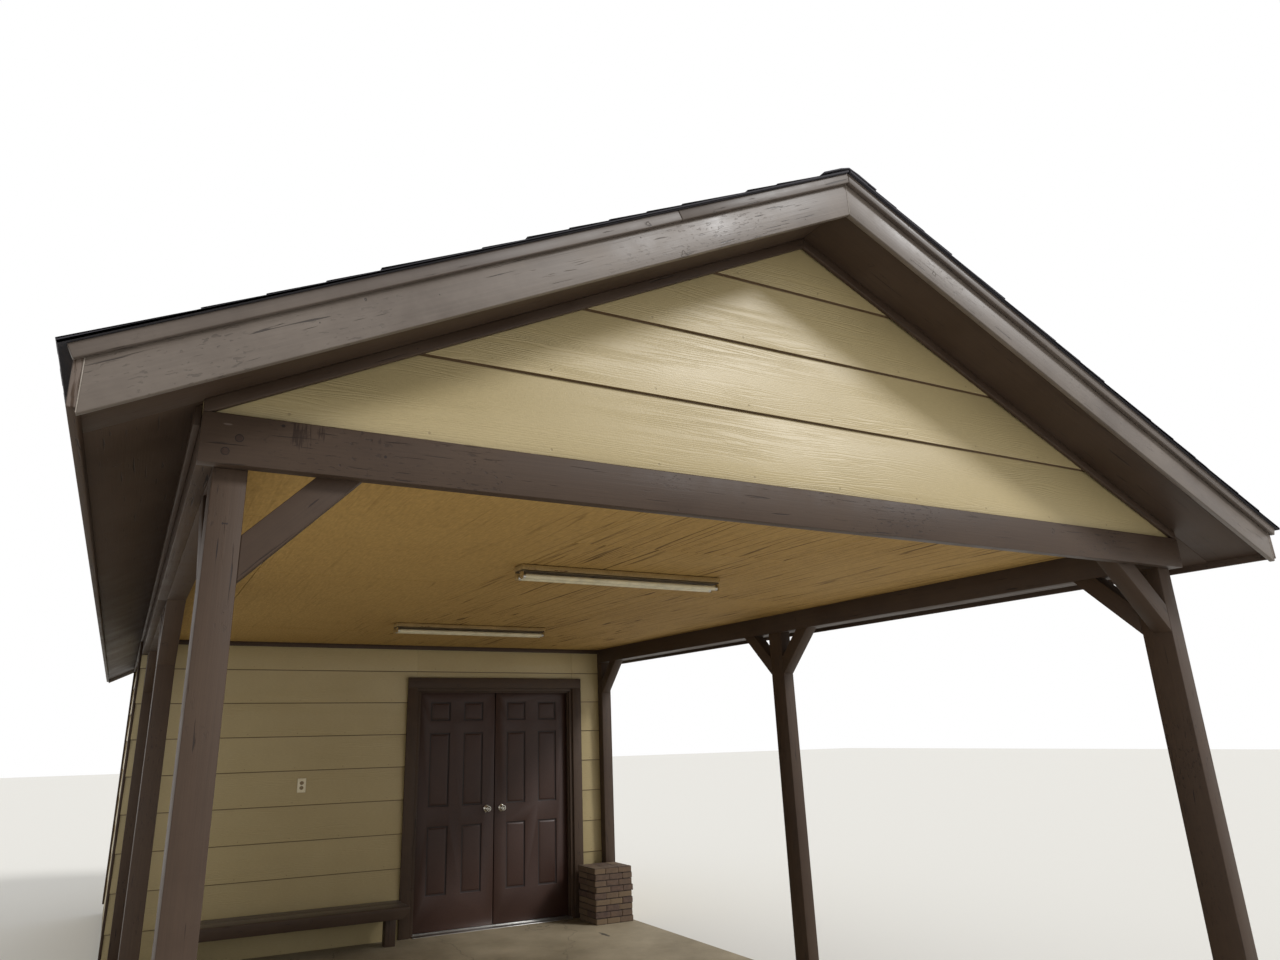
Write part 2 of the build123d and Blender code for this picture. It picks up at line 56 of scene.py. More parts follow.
# the camera stands left of the middle in front of the gable and looks up and to the right
camera = {
    "spot": (-2.2848, frontY - 2.4137, 1.7342),
    "turn": 27.614,  # degrees to the right of straight ahead
    "rise": 18.212,
    "roll": -1.306,
    "focalPixels": 874.07,
    "centrePixels": (590.98, 447.08),
    "imagePixels": (1280, 960),
    "sensor": 36.0,
}


def addCamera():
    turn, rise, roll = (math.radians(camera[key]) for key in ("turn", "rise", "roll"))
    wide, high = camera["imagePixels"]
    ahead = Vector((math.sin(turn) * math.cos(rise), math.cos(turn) * math.cos(rise), math.sin(rise)))
    levelRight = Vector((math.cos(turn), -math.sin(turn), 0))
    levelUp = levelRight.cross(ahead)
    right = levelRight * math.cos(roll) + levelUp * math.sin(roll)
    up = levelUp * math.cos(roll) - levelRight * math.sin(roll)
    bpy.ops.object.camera_add()
    eye = bpy.context.object
    eye.name = "photoCamera"
    place = Matrix((right, up, -ahead)).transposed().to_4x4()
    place.translation = camera["spot"]
    eye.matrix_world = place
    eye.data.sensor_width = camera["sensor"]
    eye.data.lens = camera["focalPixels"] / wide * camera["sensor"]
    eye.data.shift_x = (wide / 2 - camera["centrePixels"][0]) / wide
    eye.data.shift_y = (camera["centrePixels"][1] - high / 2) / wide
    bpy.context.scene.camera = eye


addCamera()
print("camera placed")


# small helpers for objects and edit mode
def only(piece):
    bpy.ops.object.select_all(action="DESELECT")
    piece.select_set(True)
    bpy.context.view_layer.objects.active = piece


def editing(piece):
    only(piece)
    bpy.ops.object.mode_set(mode="EDIT")
    bpy.ops.mesh.select_all(action="SELECT")


def done():
    bpy.ops.object.mode_set(mode="OBJECT")


def applyModifier(piece, kind, **settings):
    only(piece)
    modifier = piece.modifiers.new(kind.lower(), kind)
    for key, value in settings.items():
        setattr(modifier, key, value)
    bpy.ops.object.modifier_apply(modifier=modifier.name)


# edges that turn by at least so many degrees are rounded
def ease(piece, width, segments=2, least=30):
    applyModifier(piece, "BEVEL", width=width, segments=segments, limit_method="ANGLE",
                  angle_limit=math.radians(least))
    return piece


def smooth(piece, angle=35):
    only(piece)
    bpy.ops.object.shade_smooth_by_angle(angle=math.radians(angle))


def joined(pieces, name):
    bpy.ops.object.select_all(action="DESELECT")
    for piece in pieces:
        piece.select_set(True)
    bpy.context.view_layer.objects.active = pieces[0]
    if len(pieces) > 1:
        bpy.ops.object.join()
    whole = bpy.context.object
    whole.name = name
    return whole


def discard(*pieces):
    for piece in pieces:
        bpy.data.objects.remove(piece)


# helpers for materials: a node's inputs are given by name or in their order, and where a node stands for a
# value, its first output in use is linked
def linear(hexText):
    channels = [int(hexText[i:i + 2], 16) / 255 for i in (1, 3, 5)]
    return (*[c / 12.92 if c <= 0.04045 else ((c + 0.055) / 1.055) ** 2.4 for c in channels], 1.0)


def feed(node, links):
    for key, value in links.items() if isinstance(links, dict) else enumerate(links):
        if isinstance(value, str):
            value = linear(value)
        if isinstance(value, bpy.types.Node):
            value = next(output for output in value.outputs if output.enabled)
        if isinstance(value, bpy.types.NodeSocket):
            node.id_data.links.new(value, node.inputs[key])
        else:
            node.inputs[key].default_value = value


def addNode(tree, kind, links=(), operation=None, **settings):
    node = tree.nodes.new("ShaderNode" + kind)
    if operation:
        node.operation = operation
    for key, value in settings.items():
        setattr(node, key, value)
    feed(node, links)
    return node


def newMaterial(name, **shader):
    material = bpy.data.materials.new(name)
    material.use_nodes = True
    surface = material.node_tree.nodes["Principled BSDF"]
    feed(surface, shader)
    return material, functools.partial(addNode, material.node_tree), surface


def dress(piece, material):
    piece.data.materials.clear()
    piece.data.materials.append(material)
    return piece


# noise stretched along a board, a sheet or a broom's stroke
def drawnOut(add, where, scale, detail, **more):
    stretched = add("Mapping", {"Vector": where, "Scale": scale})
    return add("TexNoise", {"Vector": stretched, "Scale": 1.0, "Detail": detail, **more})


# a colour made darker and lighter by a noise
def shaded(add, colour, noise, dark, light, spread=(0.3, 0.7)):
    lit = add("MapRange", (noise, spread[0], spread[1], dark, light))
    return add("VectorMath", {0: colour, "Scale": lit}, "SCALE")


# how far a point lies from a mark's middle, where 1 is the mark's edge
def awayFrom(add, where, middle, reach):
    away = add("VectorMath", (where, middle), "SUBTRACT")
    away = add("VectorMath", (away, reach), "DIVIDE")
    return add("VectorMath", (away,), "LENGTH")


# the end of a material: its colour, the layers of its relief by weight, and a roughness that a pattern moves
def coat(add, surface, colour, height, layers, relief, strength=0.8, worn=None, roughness=None):
    for layer, weight in layers:
        height = add("Math", (layer, weight, height), "MULTIPLY_ADD")
    bump = add("Bump", {"Height": height, "Strength": strength, "Distance": relief})
    feed(surface, {"Base Color": colour, "Normal": bump})
    if worn:
        rough = add("MapRange", (worn, 0.0, 1.0, roughness[0], roughness[1]))
        feed(surface, {"Roughness": rough})


# floor, world and lamps: a plain pale floor and soft light, with white seen behind
studio = {
    "floorSize": 120.0,
    "floorDrop": 0.0005,
    "floorColour": "#DEDCD6",
    "worldStrength": 0.75,
    "sunStrength": 1.9,
    "sunAngle": 12.0,
    "sunFrom": (0.95, -1.0, 0.95),
}


def addStudio():
    bpy.ops.mesh.primitive_plane_add(size=studio["floorSize"], location=(0, 0, -studio["floorDrop"]))
    floor = bpy.context.object
    floor.name = "studioFloor"
    paper, add, surface = newMaterial("paleFloorPaper", Roughness=0.9)
    spread = add("TexNoise", {"Scale": 0.4, "Detail": 2.0})
    colour = shaded(add, linear(studio["floorColour"])[:3], spread, 0.99, 1.01, (0, 1))
    feed(surface, {"Base Color": colour})
    dress(floor, paper)
    world = bpy.data.worlds.new("softStudio")
    bpy.context.scene.world = world
    world.use_nodes = True
    add = functools.partial(addNode, world.node_tree)
    path = add("LightPath").outputs
    seen = add("Math", (path["Is Camera Ray"], path["Is Glossy Ray"]), "MAXIMUM")
    seen = add("Math", (seen, path["Is Transmission Ray"]), "MAXIMUM")
    strength = add("MapRange", (seen, 0.0, 1.0, studio["worldStrength"], 1.0))
    feed(world.node_tree.nodes["Background"], {"Strength": strength, "Color": (1, 1, 1, 1)})
    bpy.ops.object.light_add(type="SUN")
    sun = bpy.context.object
    sun.name = "keyLamp"
    sun.data.energy = studio["sunStrength"]
    sun.data.angle = math.radians(studio["sunAngle"])
    sun.rotation_euler = Vector(studio["sunFrom"]).to_track_quat("Z", "Y").to_euler()
    bpy.context.scene.view_settings.view_transform = "Standard"


addStudio()
print("studio set")


# exterior satin acrylic brushed on sawn softwood: a low sheen broken by grain, checks, knots and nail holes
timberPaint = {
    "colour": "#3E2F24",
    "chalked": "#4A3B2F",  # where weather has dulled the film
    "crack": "#1B1311",
    "roughness": 0.54,
    "gloss": 0.28,  # less than plain plastic, because the film is thin and chalky
    "grainLength": 0.35,
    "grainWidth": 0.008,  # 2 to 3 mm on the real board, drawn wider so that it shows
    "brushLength": 0.09,
    "brushWidth": 0.0035,
    "checkLength": 0.22,
    "checkWidth": 0.008,
    "checkFrom": (0.68, 0.715),  # noise levels at which a check starts and is full
    "nickLength": 0.026,
    "nickWidth": 0.009,
    "nickFrom": (0.61, 0.65),
    "wornFrom": (0.5, 0.62),
    "nicks": 0.0,  # only the boards in front, which hands and ladders reach, are nicked
    "knotSpacing": 0.19,
    "knotRadius": 0.012,
    "knotLine": 0.0022,
    "knotWander": 0.032,
    "holeSpacing": 0.06,
    "holeRadius": 0.0018,
    "relief": 0.0013,
}

# places where the paint has a mark of its own: middle, half sizes, colour, and whether its edge is ragged
boardMarks = {
    "beam_boards": (
        ((-1.936, frontY, 2.550), (0.036, 0.05, 0.046), "#2A1C13", True),  # rubbed down to an older coat
        ((-1.882, frontY, 2.556), (0.014, 0.05, 0.03), "#2A1C13", True),
        ((-1.716, frontY, 2.556), (0.024, 0.05, 0.02), "#2A1C13", True),
        ((-2.125, frontY, 2.551), (0.012, 0.05, 0.003), "#6A5C54", False),
        ((-1.983, frontY, 2.566), (0.006, 0.05, 0.005), "#1B1210", False),
        ((-1.695, frontY, 2.512), (0.005, 0.05, 0.005), "#1B1210", False),
    ),
    "posts": (  # splits below the left post's top
        ((-2.129, frontY + 0.038, 2.382), (0.0025, 0.05, 0.022), "#1B1210", True),
        ((-2.104, frontY + 0.038, 2.288), (0.015, 0.05, 0.004), "#1B1210", True),
        ((-2.114, frontY + 0.038, 2.225), (0.0025, 0.05, 0.04), "#1B1210", True),
    ),
    "eave_fascias": (  # weathered end grain
        ((-2.470, frontY - 0.266, 2.53), (0.030, 0.006, 0.16), "#6E625A", True),
        ((2.470, frontY - 0.266, 2.53), (0.030, 0.006, 0.16), "#6E625A", True),
    ),
}
markStrokes = (180, 180, 14)  # brush strokes inside a mark, as noise scales
raggedBy = (3.2, -1.2)  # how much the strokes move a ragged mark's edge, and where that starts


def paintedTimber(name, values, marks=()):
    material, add, surface = newMaterial(name, **{"Specular IOR Level": values["gloss"]})
    where = add("Attribute", attribute_name="grain").outputs["Vector"]
    layers = {"worn": add("TexNoise", {"Vector": where, "Scale": 1.9, "Detail": 2.0})}
    for layer, detail in (("grain", 5.0), ("brush", 2.0), ("check", 2.0), ("nick", 3.0)):
        length, width = values[layer + "Length"], values[layer + "Width"]
        layers[layer] = drawnOut(add, where, (1 / length, 1 / width, 1 / width), detail, Distortion=0.5)
    for layer in ("check", "nick", "worn"):
        starts, full = values[layer + "From"]
        layers[layer] = add("MapRange", (layers[layer], starts, full))
    nick = add("Math", (layers["nick"], layers["worn"]), "MULTIPLY")
    nick = add("Math", (nick, values["nicks"]), "MULTIPLY")
    check = add("Math", (layers["check"], nick), "MAXIMUM")
    wander = add("TexNoise", {"Vector": where, "Scale": 38.0, "Detail": 3.0}).outputs["Color"]
    wander = add("VectorMath", {0: wander, "Scale": values["knotWander"]}, "SCALE")
    bent = add("VectorMath", (where, wander), "ADD")
    spacing = values["knotSpacing"]
    knots = add("TexVoronoi", {"Vector": bent, "Scale": 1 / spacing})
    away = add("Math", (knots, values["knotRadius"] / spacing), "SUBTRACT")
    away = add("Math", (away,), "ABSOLUTE")
    ring = add("MapRange", (away, 0.0, values["knotLine"] / spacing, 1.0, 0.0))
    holes = add("TexVoronoi", {"Vector": where, "Scale": 1 / values["holeSpacing"]})
    radius = values["holeRadius"] / values["holeSpacing"]
    hole = add("MapRange", (holes, radius, 1.6 * radius, 1.0, 0.0))
    broken = add("Math", (check, ring), "MAXIMUM")
    broken = add("Math", (broken, hole), "MAXIMUM")
    patches = add("TexNoise", {"Vector": where, "Scale": 2.6, "Detail": 5.0, "Roughness": 0.65})
    dulled = add("MapRange", (patches, 0.35, 0.75))
    colour = add("Mix", {0: dulled, 6: values["colour"], 7: values["chalked"]}, data_type="RGBA")
    colour = shaded(add, colour, layers["grain"], 0.93, 1.06)
    dark = add("Math", (broken, 0.75), "MULTIPLY")
    colour = add("Mix", {0: dark, 6: colour, 7: values["crack"]}, data_type="RGBA")
    for middle, reach, markColour, ragged in marks:
        place = add("TexCoord").outputs["Object"]
        strokes = drawnOut(add, place, markStrokes, 2.0)
        gain, start = raggedBy if ragged else (0.0, 0.0)
        spread = add("Math", (strokes, gain, start), "MULTIPLY_ADD")
        away = add("Math", (awayFrom(add, place, middle, reach), spread), "ADD")
        mark = add("MapRange", (away, 0.7, 1.1, 0.85, 0.0))
        colour = add("Mix", {0: mark, 6: colour, 7: markColour}, data_type="RGBA")
    coat(add, surface, colour, 0.0, ((layers["grain"], 0.4), (layers["brush"], 0.25), (broken, -0.9)),
         values["relief"], 0.75, dulled, (values["roughness"] - 0.06, values["roughness"] + 0.16))
    return material


brownPaint = paintedTimber("satinBrownAcrylicOnSawnPine", timberPaint)
nicked = dict(timberPaint, nicks=0.8)
markedPaint = {name: paintedTimber("satinBrownAcrylicOn_" + name, nicked, marks)
               for name, marks in boardMarks.items()}
# the rake boards take the full sun and rain, so their brown has chalked to a grey-brown with a few scratches;
# it is also painted paler as the sky's sheen on them
markedPaint["rake_boards"] = paintedTimber("chalkedBrownWithPaintedSheenOnRakeBoards", dict(
    timberPaint, colour="#5C524A", chalked="#756B62", roughness=0.44, gloss=0.45, nicks=0.45))
# the rake moulds take a like paler brown: chalked, and painted lighter as a sky sheen
markedPaint["rake_moulds"] = paintedTimber("chalkedBrownWithPaintedSheenOnRakeMoulds", dict(
    timberPaint, colour="#50463F", chalked="#665C54", roughness=0.46, gloss=0.4, nicks=0.3))
# the bench seat is rubbed and dusty, and painted paler than its legs as the sky's sheen on its top
markedPaint["bench_seat"] = paintedTimber("rubbedBrownWithPaintedSheenOnBenchSeat", dict(
    timberPaint, colour="#4C433E", chalked="#645B55", roughness=0.4, gloss=0.5))
# planed pine left bare under the roof: pale, dry and matt, with darker late wood
bareWood = paintedTimber("barePine", dict(
    timberPaint, colour="#C2A277", chalked="#A98658", crack="#6E4F30", roughness=0.7))


# hardboard lap siding pressed with a cedar grain, under satin tan acrylic: wavy grooves catch the light
sidingPaint = {
    "colour": "#B5A47A",
    "shade": "#A5946B",
    # painted shadow colour of the band under each lap and of the lap undersides, also used for the nail heads
    "lapShadowAndNail": "#4F3A21",
    "back": "#8A6D4B",
    "roughness": 0.42,
    "exposure": 0.2794,
    "ripple": 0.009,
    "wander": 26.0,
    "poreLength": 0.03,
    "poreWidth": 0.0035,
    "stipple": 0.006,  # 2 to 3 mm roller texture, drawn coarser so that it shows
    "relief": 0.0011,
    "nailSpacing": 0.4064,
    "nailHeight": 0.022,
    "nailRadius": 0.0035,
    "shadowHeight": 0.004,  # the painted shadow under each lap
}


def sidingMaterial(name, firstLine):
    values = sidingPaint
    exposure, nailSpacing, nailRadius = values["exposure"], values["nailSpacing"], values["nailRadius"]
    material, add, surface = newMaterial(name)
    place = add("TexCoord").outputs
    parts = add("SeparateXYZ", {"Vector": place["Object"]}).outputs
    along = add("Math", (parts["X"], parts["Y"]), "ADD")
    level = add("Math", (parts["Z"], firstLine - 20 * exposure), "SUBTRACT")
    flat = add("CombineXYZ", {"X": along, "Y": level})
    cells = add("VectorMath", (flat, (1 / nailSpacing, 1 / exposure, 0)), "MULTIPLY")
    inCell = add("VectorMath", (cells,), "FRACTION")
    cell = add("VectorMath", (cells,), "FLOOR")
    within = add("SeparateXYZ", {"Vector": inCell}).outputs["Y"]
    course = add("SeparateXYZ", {"Vector": cell}).outputs["Y"]
    nail = add("VectorMath", (inCell, (0.5, values["nailHeight"] / exposure, 0)), "SUBTRACT")
    nail = add("VectorMath", (nail, (nailSpacing, exposure, 0)), "MULTIPLY")
    nail = add("VectorMath", (nail,), "LENGTH")
    nail = add("MapRange", (nail, nailRadius, 1.5 * nailRadius, 1.0, 0.0))
    board = add("CombineXYZ", {"X": level, "Y": along, "Z": course})
    pressed = add("Mapping", {"Vector": board, "Scale": (0.314 / values["ripple"], 2.4, 7.3)})
    wave = add("TexWave", {"Vector": pressed, "Scale": 1.0, "Distortion": values["wander"], "Detail": 2.0,
                           "Detail Scale": 0.55, "Detail Roughness": 0.55}).outputs["Fac"]
    groove = add("MapRange", (wave, 0.0, 0.55))
    patches = drawnOut(add, board, (9.0, 1.6, 3.1), 2.0)
    depth = add("MapRange", (patches, 0.4, 0.66, 0.04, 0.75))
    groove = add("Math", (groove, depth), "MULTIPLY")
    pores = drawnOut(add, board, (1 / values["poreWidth"], 1 / values["poreLength"], 5.0), 3.0)
    broad = add("TexNoise", {"Vector": board, "Scale": 1.3, "Detail": 4.0, "Roughness": 0.6})
    colour = add("Mix", {0: broad, 6: values["colour"], 7: values["shade"]}, data_type="RGBA")
    colour = shaded(add, colour, pores, 0.95, 1.04)
    # painted shade: a dark band at the top of each course, under the lap above, and the downward-facing lap
    # undersides darkened; the nail heads darken to the same colour
    shadow = values["shadowHeight"] / exposure
    edge = add("MapRange", (within, 1 - 2 * shadow, 1 - 0.7 * shadow))
    upright = add("SeparateXYZ", {"Vector": place["Normal"]}).outputs["Z"]
    under = add("MapRange", (upright, -0.4, -0.8))
    dark = add("Math", (edge, under), "MAXIMUM")
    pin = add("Math", (nail, 0.35), "MULTIPLY")
    dark = add("Math", (dark, pin), "MAXIMUM")
    colour = add("Mix", {0: dark, 6: colour, 7: values["lapShadowAndNail"]}, data_type="RGBA")
    # the side that faces into the building is the board's unpainted back
    inward = add("VectorMath", (place["Object"], (0, (roomY + rearY) / 2, 0)), "SUBTRACT")
    inward = add("VectorMath", (inward, (1, 1, 0)), "MULTIPLY")
    inward = add("VectorMath", (inward, place["Normal"]), "DOT_PRODUCT")
    back = add("MapRange", (inward, -0.01, -0.05))
    bare = add("Mix", {0: pores, 6: values["back"], 7: values["shade"]}, data_type="RGBA")
    colour = add("Mix", {0: back, 6: colour, 7: bare}, data_type="RGBA")
    stipple = add("TexNoise", {"Vector": place["Object"], "Scale": 1 / values["stipple"], "Detail": 2.0})
    coat(add, surface, colour, groove, ((pores, 0.35), (stipple, 0.5), (nail, -0.6)), values["relief"],
         worn=broad, roughness=(values["roughness"] - 0.07, values["roughness"] + 0.12))
    return material


wallSiding = sidingMaterial("tanAcrylicOnWallSiding", floorZ)
gableSiding = sidingMaterial("tanAcrylicOnGableSiding", plateZ + 0.288)


# rough-sawn fir plywood under flat tan acrylic: long raised grain lines, dark and broken, on a stippled face
ceilingPaint = {
    "colour": "#B8975A",
    "shade": "#A5834B",
    "line": "#4A3010",
    "roughness": 0.8,
    "linesFadeLeftOf": -0.5,  # left of this the grain lines and saw marks fade out, painted as the light that grazes only the right side and brings them out
    "grainLength": 6.0,
    "grainWidth": 0.12,
    "ringStep": 0.1,  # how far apart the year lines are, in steps of the noise
    "ringLine": 0.009,
    "breakLength": 0.8,
    "breakWidth": 0.045,
    "sawLength": 0.07,
    "sawWidth": 0.009,
    "stipple": 0.018,
    "relief": 0.004,  # 1 mm on the real sheet, deepened so that it shows from below
}


def ceilingMaterial():
    values = ceilingPaint
    material, add, surface = newMaterial("flatTanAcrylicOnRoughSawnPlywood", **{"Specular IOR Level": 0.2})
    place = add("TexCoord").outputs["Object"]
    tone = add("Attribute", attribute_name="tone").outputs["Fac"]
    shift = add("CombineXYZ", {"Z": tone})
    shift = add("VectorMath", {0: shift, "Scale": 3.7}, "SCALE")
    where = add("VectorMath", (place, shift), "ADD")
    layers = {}
    for layer, detail in (("grain", 1.5), ("break", 3.0), ("saw", 3.0)):
        scale = (1 / values[layer + "Width"], 1 / values[layer + "Length"], 1.0)
        layers[layer] = drawnOut(add, where, scale, detail)
    away = add("Math", (layers["grain"], values["ringStep"] / 2), "PINGPONG")
    line = add("MapRange", (away, 0.35 * values["ringLine"], values["ringLine"], 1.0, 0.0))
    breaks = add("MapRange", (layers["break"], 0.4, 0.5))
    line = add("Math", (line, breaks), "MULTIPLY")
    broad = add("TexNoise", {"Vector": where, "Scale": 0.9, "Detail": 5.0, "Roughness": 0.6})
    stipple = add("TexNoise", {"Vector": where, "Scale": 1 / values["stipple"], "Detail": 2.0})
    colour = add("Mix", {0: broad, 6: values["colour"], 7: values["shade"]}, data_type="RGBA")
    colour = shaded(add, colour, layers["saw"], 0.84, 1.08)
    colour = shaded(add, colour, stipple, 0.94, 1.04, (0.35, 0.65))
    some = add("MapRange", (broad, 0.42, 0.58, 0.55, 1.0))
    # painted light: the grain lines and saw marks are strong on the right, where light grazes, and fade out
    # on the left
    across = add("SeparateXYZ", {"Vector": place}).outputs["X"]
    grazedSide = add("MapRange", (across, values["linesFadeLeftOf"] - 0.4, values["linesFadeLeftOf"] + 0.4, 0.16, 1.0))
    line = add("Math", (line, grazedSide), "MULTIPLY")
    faint = add("Math", (line, some), "MULTIPLY")
    colour = add("Mix", {0: faint, 6: colour, 7: values["line"]}, data_type="RGBA")
    saw = add("Math", (layers["saw"], grazedSide), "MULTIPLY")
    coat(add, surface, colour, saw, ((line, -0.8), (stipple, 0.9)), values["relief"],
         worn=broad, roughness=(values["roughness"] - 0.1, values["roughness"] + 0.1))
    return material


tanCeiling = ceilingMaterial()


# cast concrete with a light broom finish: matt, mottled grey-tan, with pores and hairline cracks
slabFinish = {
    "colour": "#998C73",
    "stain": "#766A52",
    "crack": "#3E372E",
    "roughness": 0.85,
    "broomLength": 0.5,
    "broomWidth": 0.006,
    "poreSpacing": 0.03,
    "crackSpacing": 2.3,
    "crackWidth": 0.0025,
    "spall": ((1.651, 0.309, floorZ), (0.035, 0.14, 0.05)),  # broken place beside the brick stack
    "relief": 0.0015,
}


def slabMaterial():
    values = slabFinish
    material, add, surface = newMaterial("broomedConcrete", Roughness=values["roughness"])
    where = add("TexCoord").outputs["Object"]
    mottle = add("TexNoise", {"Vector": where, "Scale": 1.4, "Detail": 8.0, "Roughness": 0.62})
    blotch = add("MapRange", (mottle, 0.35, 0.68))
    sand = add("TexNoise", {"Vector": where, "Scale": 220.0, "Detail": 2.0})
    broom = drawnOut(add, where, (1 / values["broomLength"], 1 / values["broomWidth"], 1.0), 2.0)
    pores = add("TexVoronoi", {"Vector": where, "Scale": 1 / values["poreSpacing"]})
    pore = add("MapRange", (pores, 0.05, 0.1, 1.0, 0.0))
    bend = add("TexNoise", {"Vector": where, "Scale": 3.0, "Detail": 5.0}).outputs["Color"]
    bend = add("VectorMath", {0: bend, "Scale": 0.35}, "SCALE")
    bend = add("VectorMath", (where, bend), "ADD")
    cells = add("TexVoronoi", {"Vector": bend, "Scale": 1 / values["crackSpacing"]},
                feature="DISTANCE_TO_EDGE")
    crack = add("MapRange", (cells, 0.0, values["crackWidth"] / values["crackSpacing"], 1.0, 0.0))
    crumbs = add("TexNoise", {"Vector": where, "Scale": 30.0, "Detail": 3.0})
    away = add("Math", (crumbs, 1.6, awayFrom(add, where, *values["spall"])), "MULTIPLY_ADD")
    spall = add("MapRange", (away, 1.2, 1.5, 1.0, 0.0))
    broken = add("Math", (crack, spall), "MAXIMUM")
    colour = add("Mix", {0: blotch, 6: values["colour"], 7: values["stain"]}, data_type="RGBA")
    colour = shaded(add, colour, sand, 0.88, 1.1)
    dark = add("Math", (pore, 0.5), "MULTIPLY")
    dark = add("Math", (dark, broken), "MAXIMUM")
    colour = add("Mix", {0: dark, 6: colour, 7: values["crack"]}, data_type="RGBA")
    coat(add, surface, colour, sand, ((broom, 0.8), (dark, -1.5)), values["relief"])
    return material


concrete = slabMaterial()


# what the smaller finishes share: two colours over a noise of a real size, speckles, and a fine relief
def smallFinish(name, colours, size, fineSize, relief, roughness, stretch=(1, 1, 1), toned=False, **shader):
    material, add, surface = newMaterial(name, **shader)
    where = add("TexCoord").outputs["Object"]
    drawn = add("Mapping", {"Vector": where, "Scale": tuple(1 / s for s in stretch)})
    broad = add("TexNoise", {"Vector": drawn, "Scale": 1 / size, "Detail": 6.0, "Roughness": 0.6})
    fine = add("TexNoise", {"Vector": drawn, "Scale": 1 / fineSize, "Detail": 3.0})
    spread = add("MapRange", (broad, 0.3, 0.7))
    colour = add("Mix", {0: spread, 6: colours[0], 7: colours[1]}, data_type="RGBA")
    if toned:  # each brick or shingle tab has its own shade
        tone = add("Attribute", attribute_name="tone").outputs["Fac"]
        colour = add("Mix", {0: tone, 6: colour, 7: colours[2]}, data_type="RGBA")
    colour = shaded(add, colour, fine, 0.86, 1.14)
    coat(add, surface, colour, fine, (), relief, 0.7, broad, roughness)
    return material


# steel door skins in satin brown alkyd: smoother than the timber, faint roller stipple, scuffed patches
doorPaint = smallFinish("satinBrownAlkydOnSteelDoor", ("#36241D", "#402C25"), 0.6, 0.006, 0.00035,
                        (0.36, 0.5), **{"Specular IOR Level": 0.3})
# painted shade: the flat ring at the bottom of each panel recess is coloured near-black as its shadow
doorGrooveShade = smallFinish("paintedShadeInDoorPanelGroove", ("#1F1412", "#2B1D19"), 0.1, 0.006, 0.0003, (0.6, 0.8))
# ceramic granules pressed into asphalt: matt, speckled black to grey, about 1.5 mm, drawn at 5 mm
granules = smallFinish("ceramicGranulesOnAsphalt", ("#232227", "#343238", "#45434A"), 0.15, 0.005, 0.0012,
                       (0.85, 0.95), toned=True)
# fired clay with a sanded face: dull, pitted, from purple-brown to buff
clay = smallFinish("sandedFiredClay", ("#3B2B28", "#5A463A", "#695741"), 0.04, 0.004, 0.0016, (0.82, 0.95),
                   toned=True)
# the bricks' chipped level arrises: soil, and painted shade in the joints between courses
clayArrisSoilAndShade = smallFinish("soilAndPaintedShadeOnBrickArris", ("#251C17", "#3A2C24"), 0.03, 0.004, 0.0016, (0.9, 0.97))
# mill-finish extruded aluminium: bright, with fine draw lines along its length
aluminium = smallFinish("millFinishAluminium", ("#DADAD6", "#BDBCB8"), 0.05, 0.002, 0.00015, (0.3, 0.42),
                        stretch=(30, 1, 1), Metallic=1.0)
# satin-plated brass hardware: soft grey-gold sheen, fingered and dulled in patches
nickel = smallFinish("satinNickelPlate", ("#D6D2C8", "#B9B4A8"), 0.02, 0.0015, 0.0001, (0.22, 0.34),
                     Metallic=1.0)
# baked enamel on sheet steel, since rolled over with the ceiling's tan: thin, slightly streaked
enamel = smallFinish("bakedEnamelPaintedTan", ("#A08552", "#846A3B"), 0.12, 0.008, 0.0003, (0.4, 0.55))
# dust, and painted shade: the channel's lower cover is coloured darker as the shade under the housing
coverDustAndShade = smallFinish("dustAndPaintedShadeOnEnamel", ("#5A4A30", "#3E3220"), 0.08, 0.006, 0.0003, (0.75, 0.9))
rust = smallFinish("rustUnderEnamel", ("#4A2E1C", "#6B4426"), 0.01, 0.002, 0.0008, (0.75, 0.9))
# phosphor-coated soda glass: smooth, glossy, chalk white with a faint yellow age
lampGlass = smallFinish("phosphorCoatedGlass", ("#DDD5BA", "#CDC3A2"), 0.2, 0.05, 0.00002, (0.12, 0.2))
# moulded urea plastic: glossy cream, a little yellowed
plastic = smallFinish("mouldedCreamUrea", ("#E2D9BE", "#D8CDAC"), 0.05, 0.004, 0.00008, (0.24, 0.34))
plasticDark = smallFinish("mouldedBrownUrea", ("#8F7853", "#7D6744"), 0.03, 0.003, 0.0001, (0.3, 0.42))
# near-black: dust in the joints around the plugs, and painted shade in the lights' top gap, the knobs' rings
# and the outlet's openings
gap = smallFinish("dustAndPaintedShadeInGaps", ("#1F1712", "#2C211A"), 0.02, 0.004, 0.0002, (0.9, 0.95))
# the timber's brown over end-grain plugs: a little darker, because the end grain drinks it
plugPaint = smallFinish("satinBrownAcrylicOnPlug", ("#33241C", "#3C2C23"), 0.02, 0.003, 0.0003, (0.6, 0.75),
                        **{"Specular IOR Level": 0.25})
# acrylic caulk bead, left paler than the paint beside it
caulk = smallFinish("agedAcrylicCaulk", ("#9C9389", "#82796F"), 0.03, 0.004, 0.0004, (0.5, 0.65))
print("materials made")


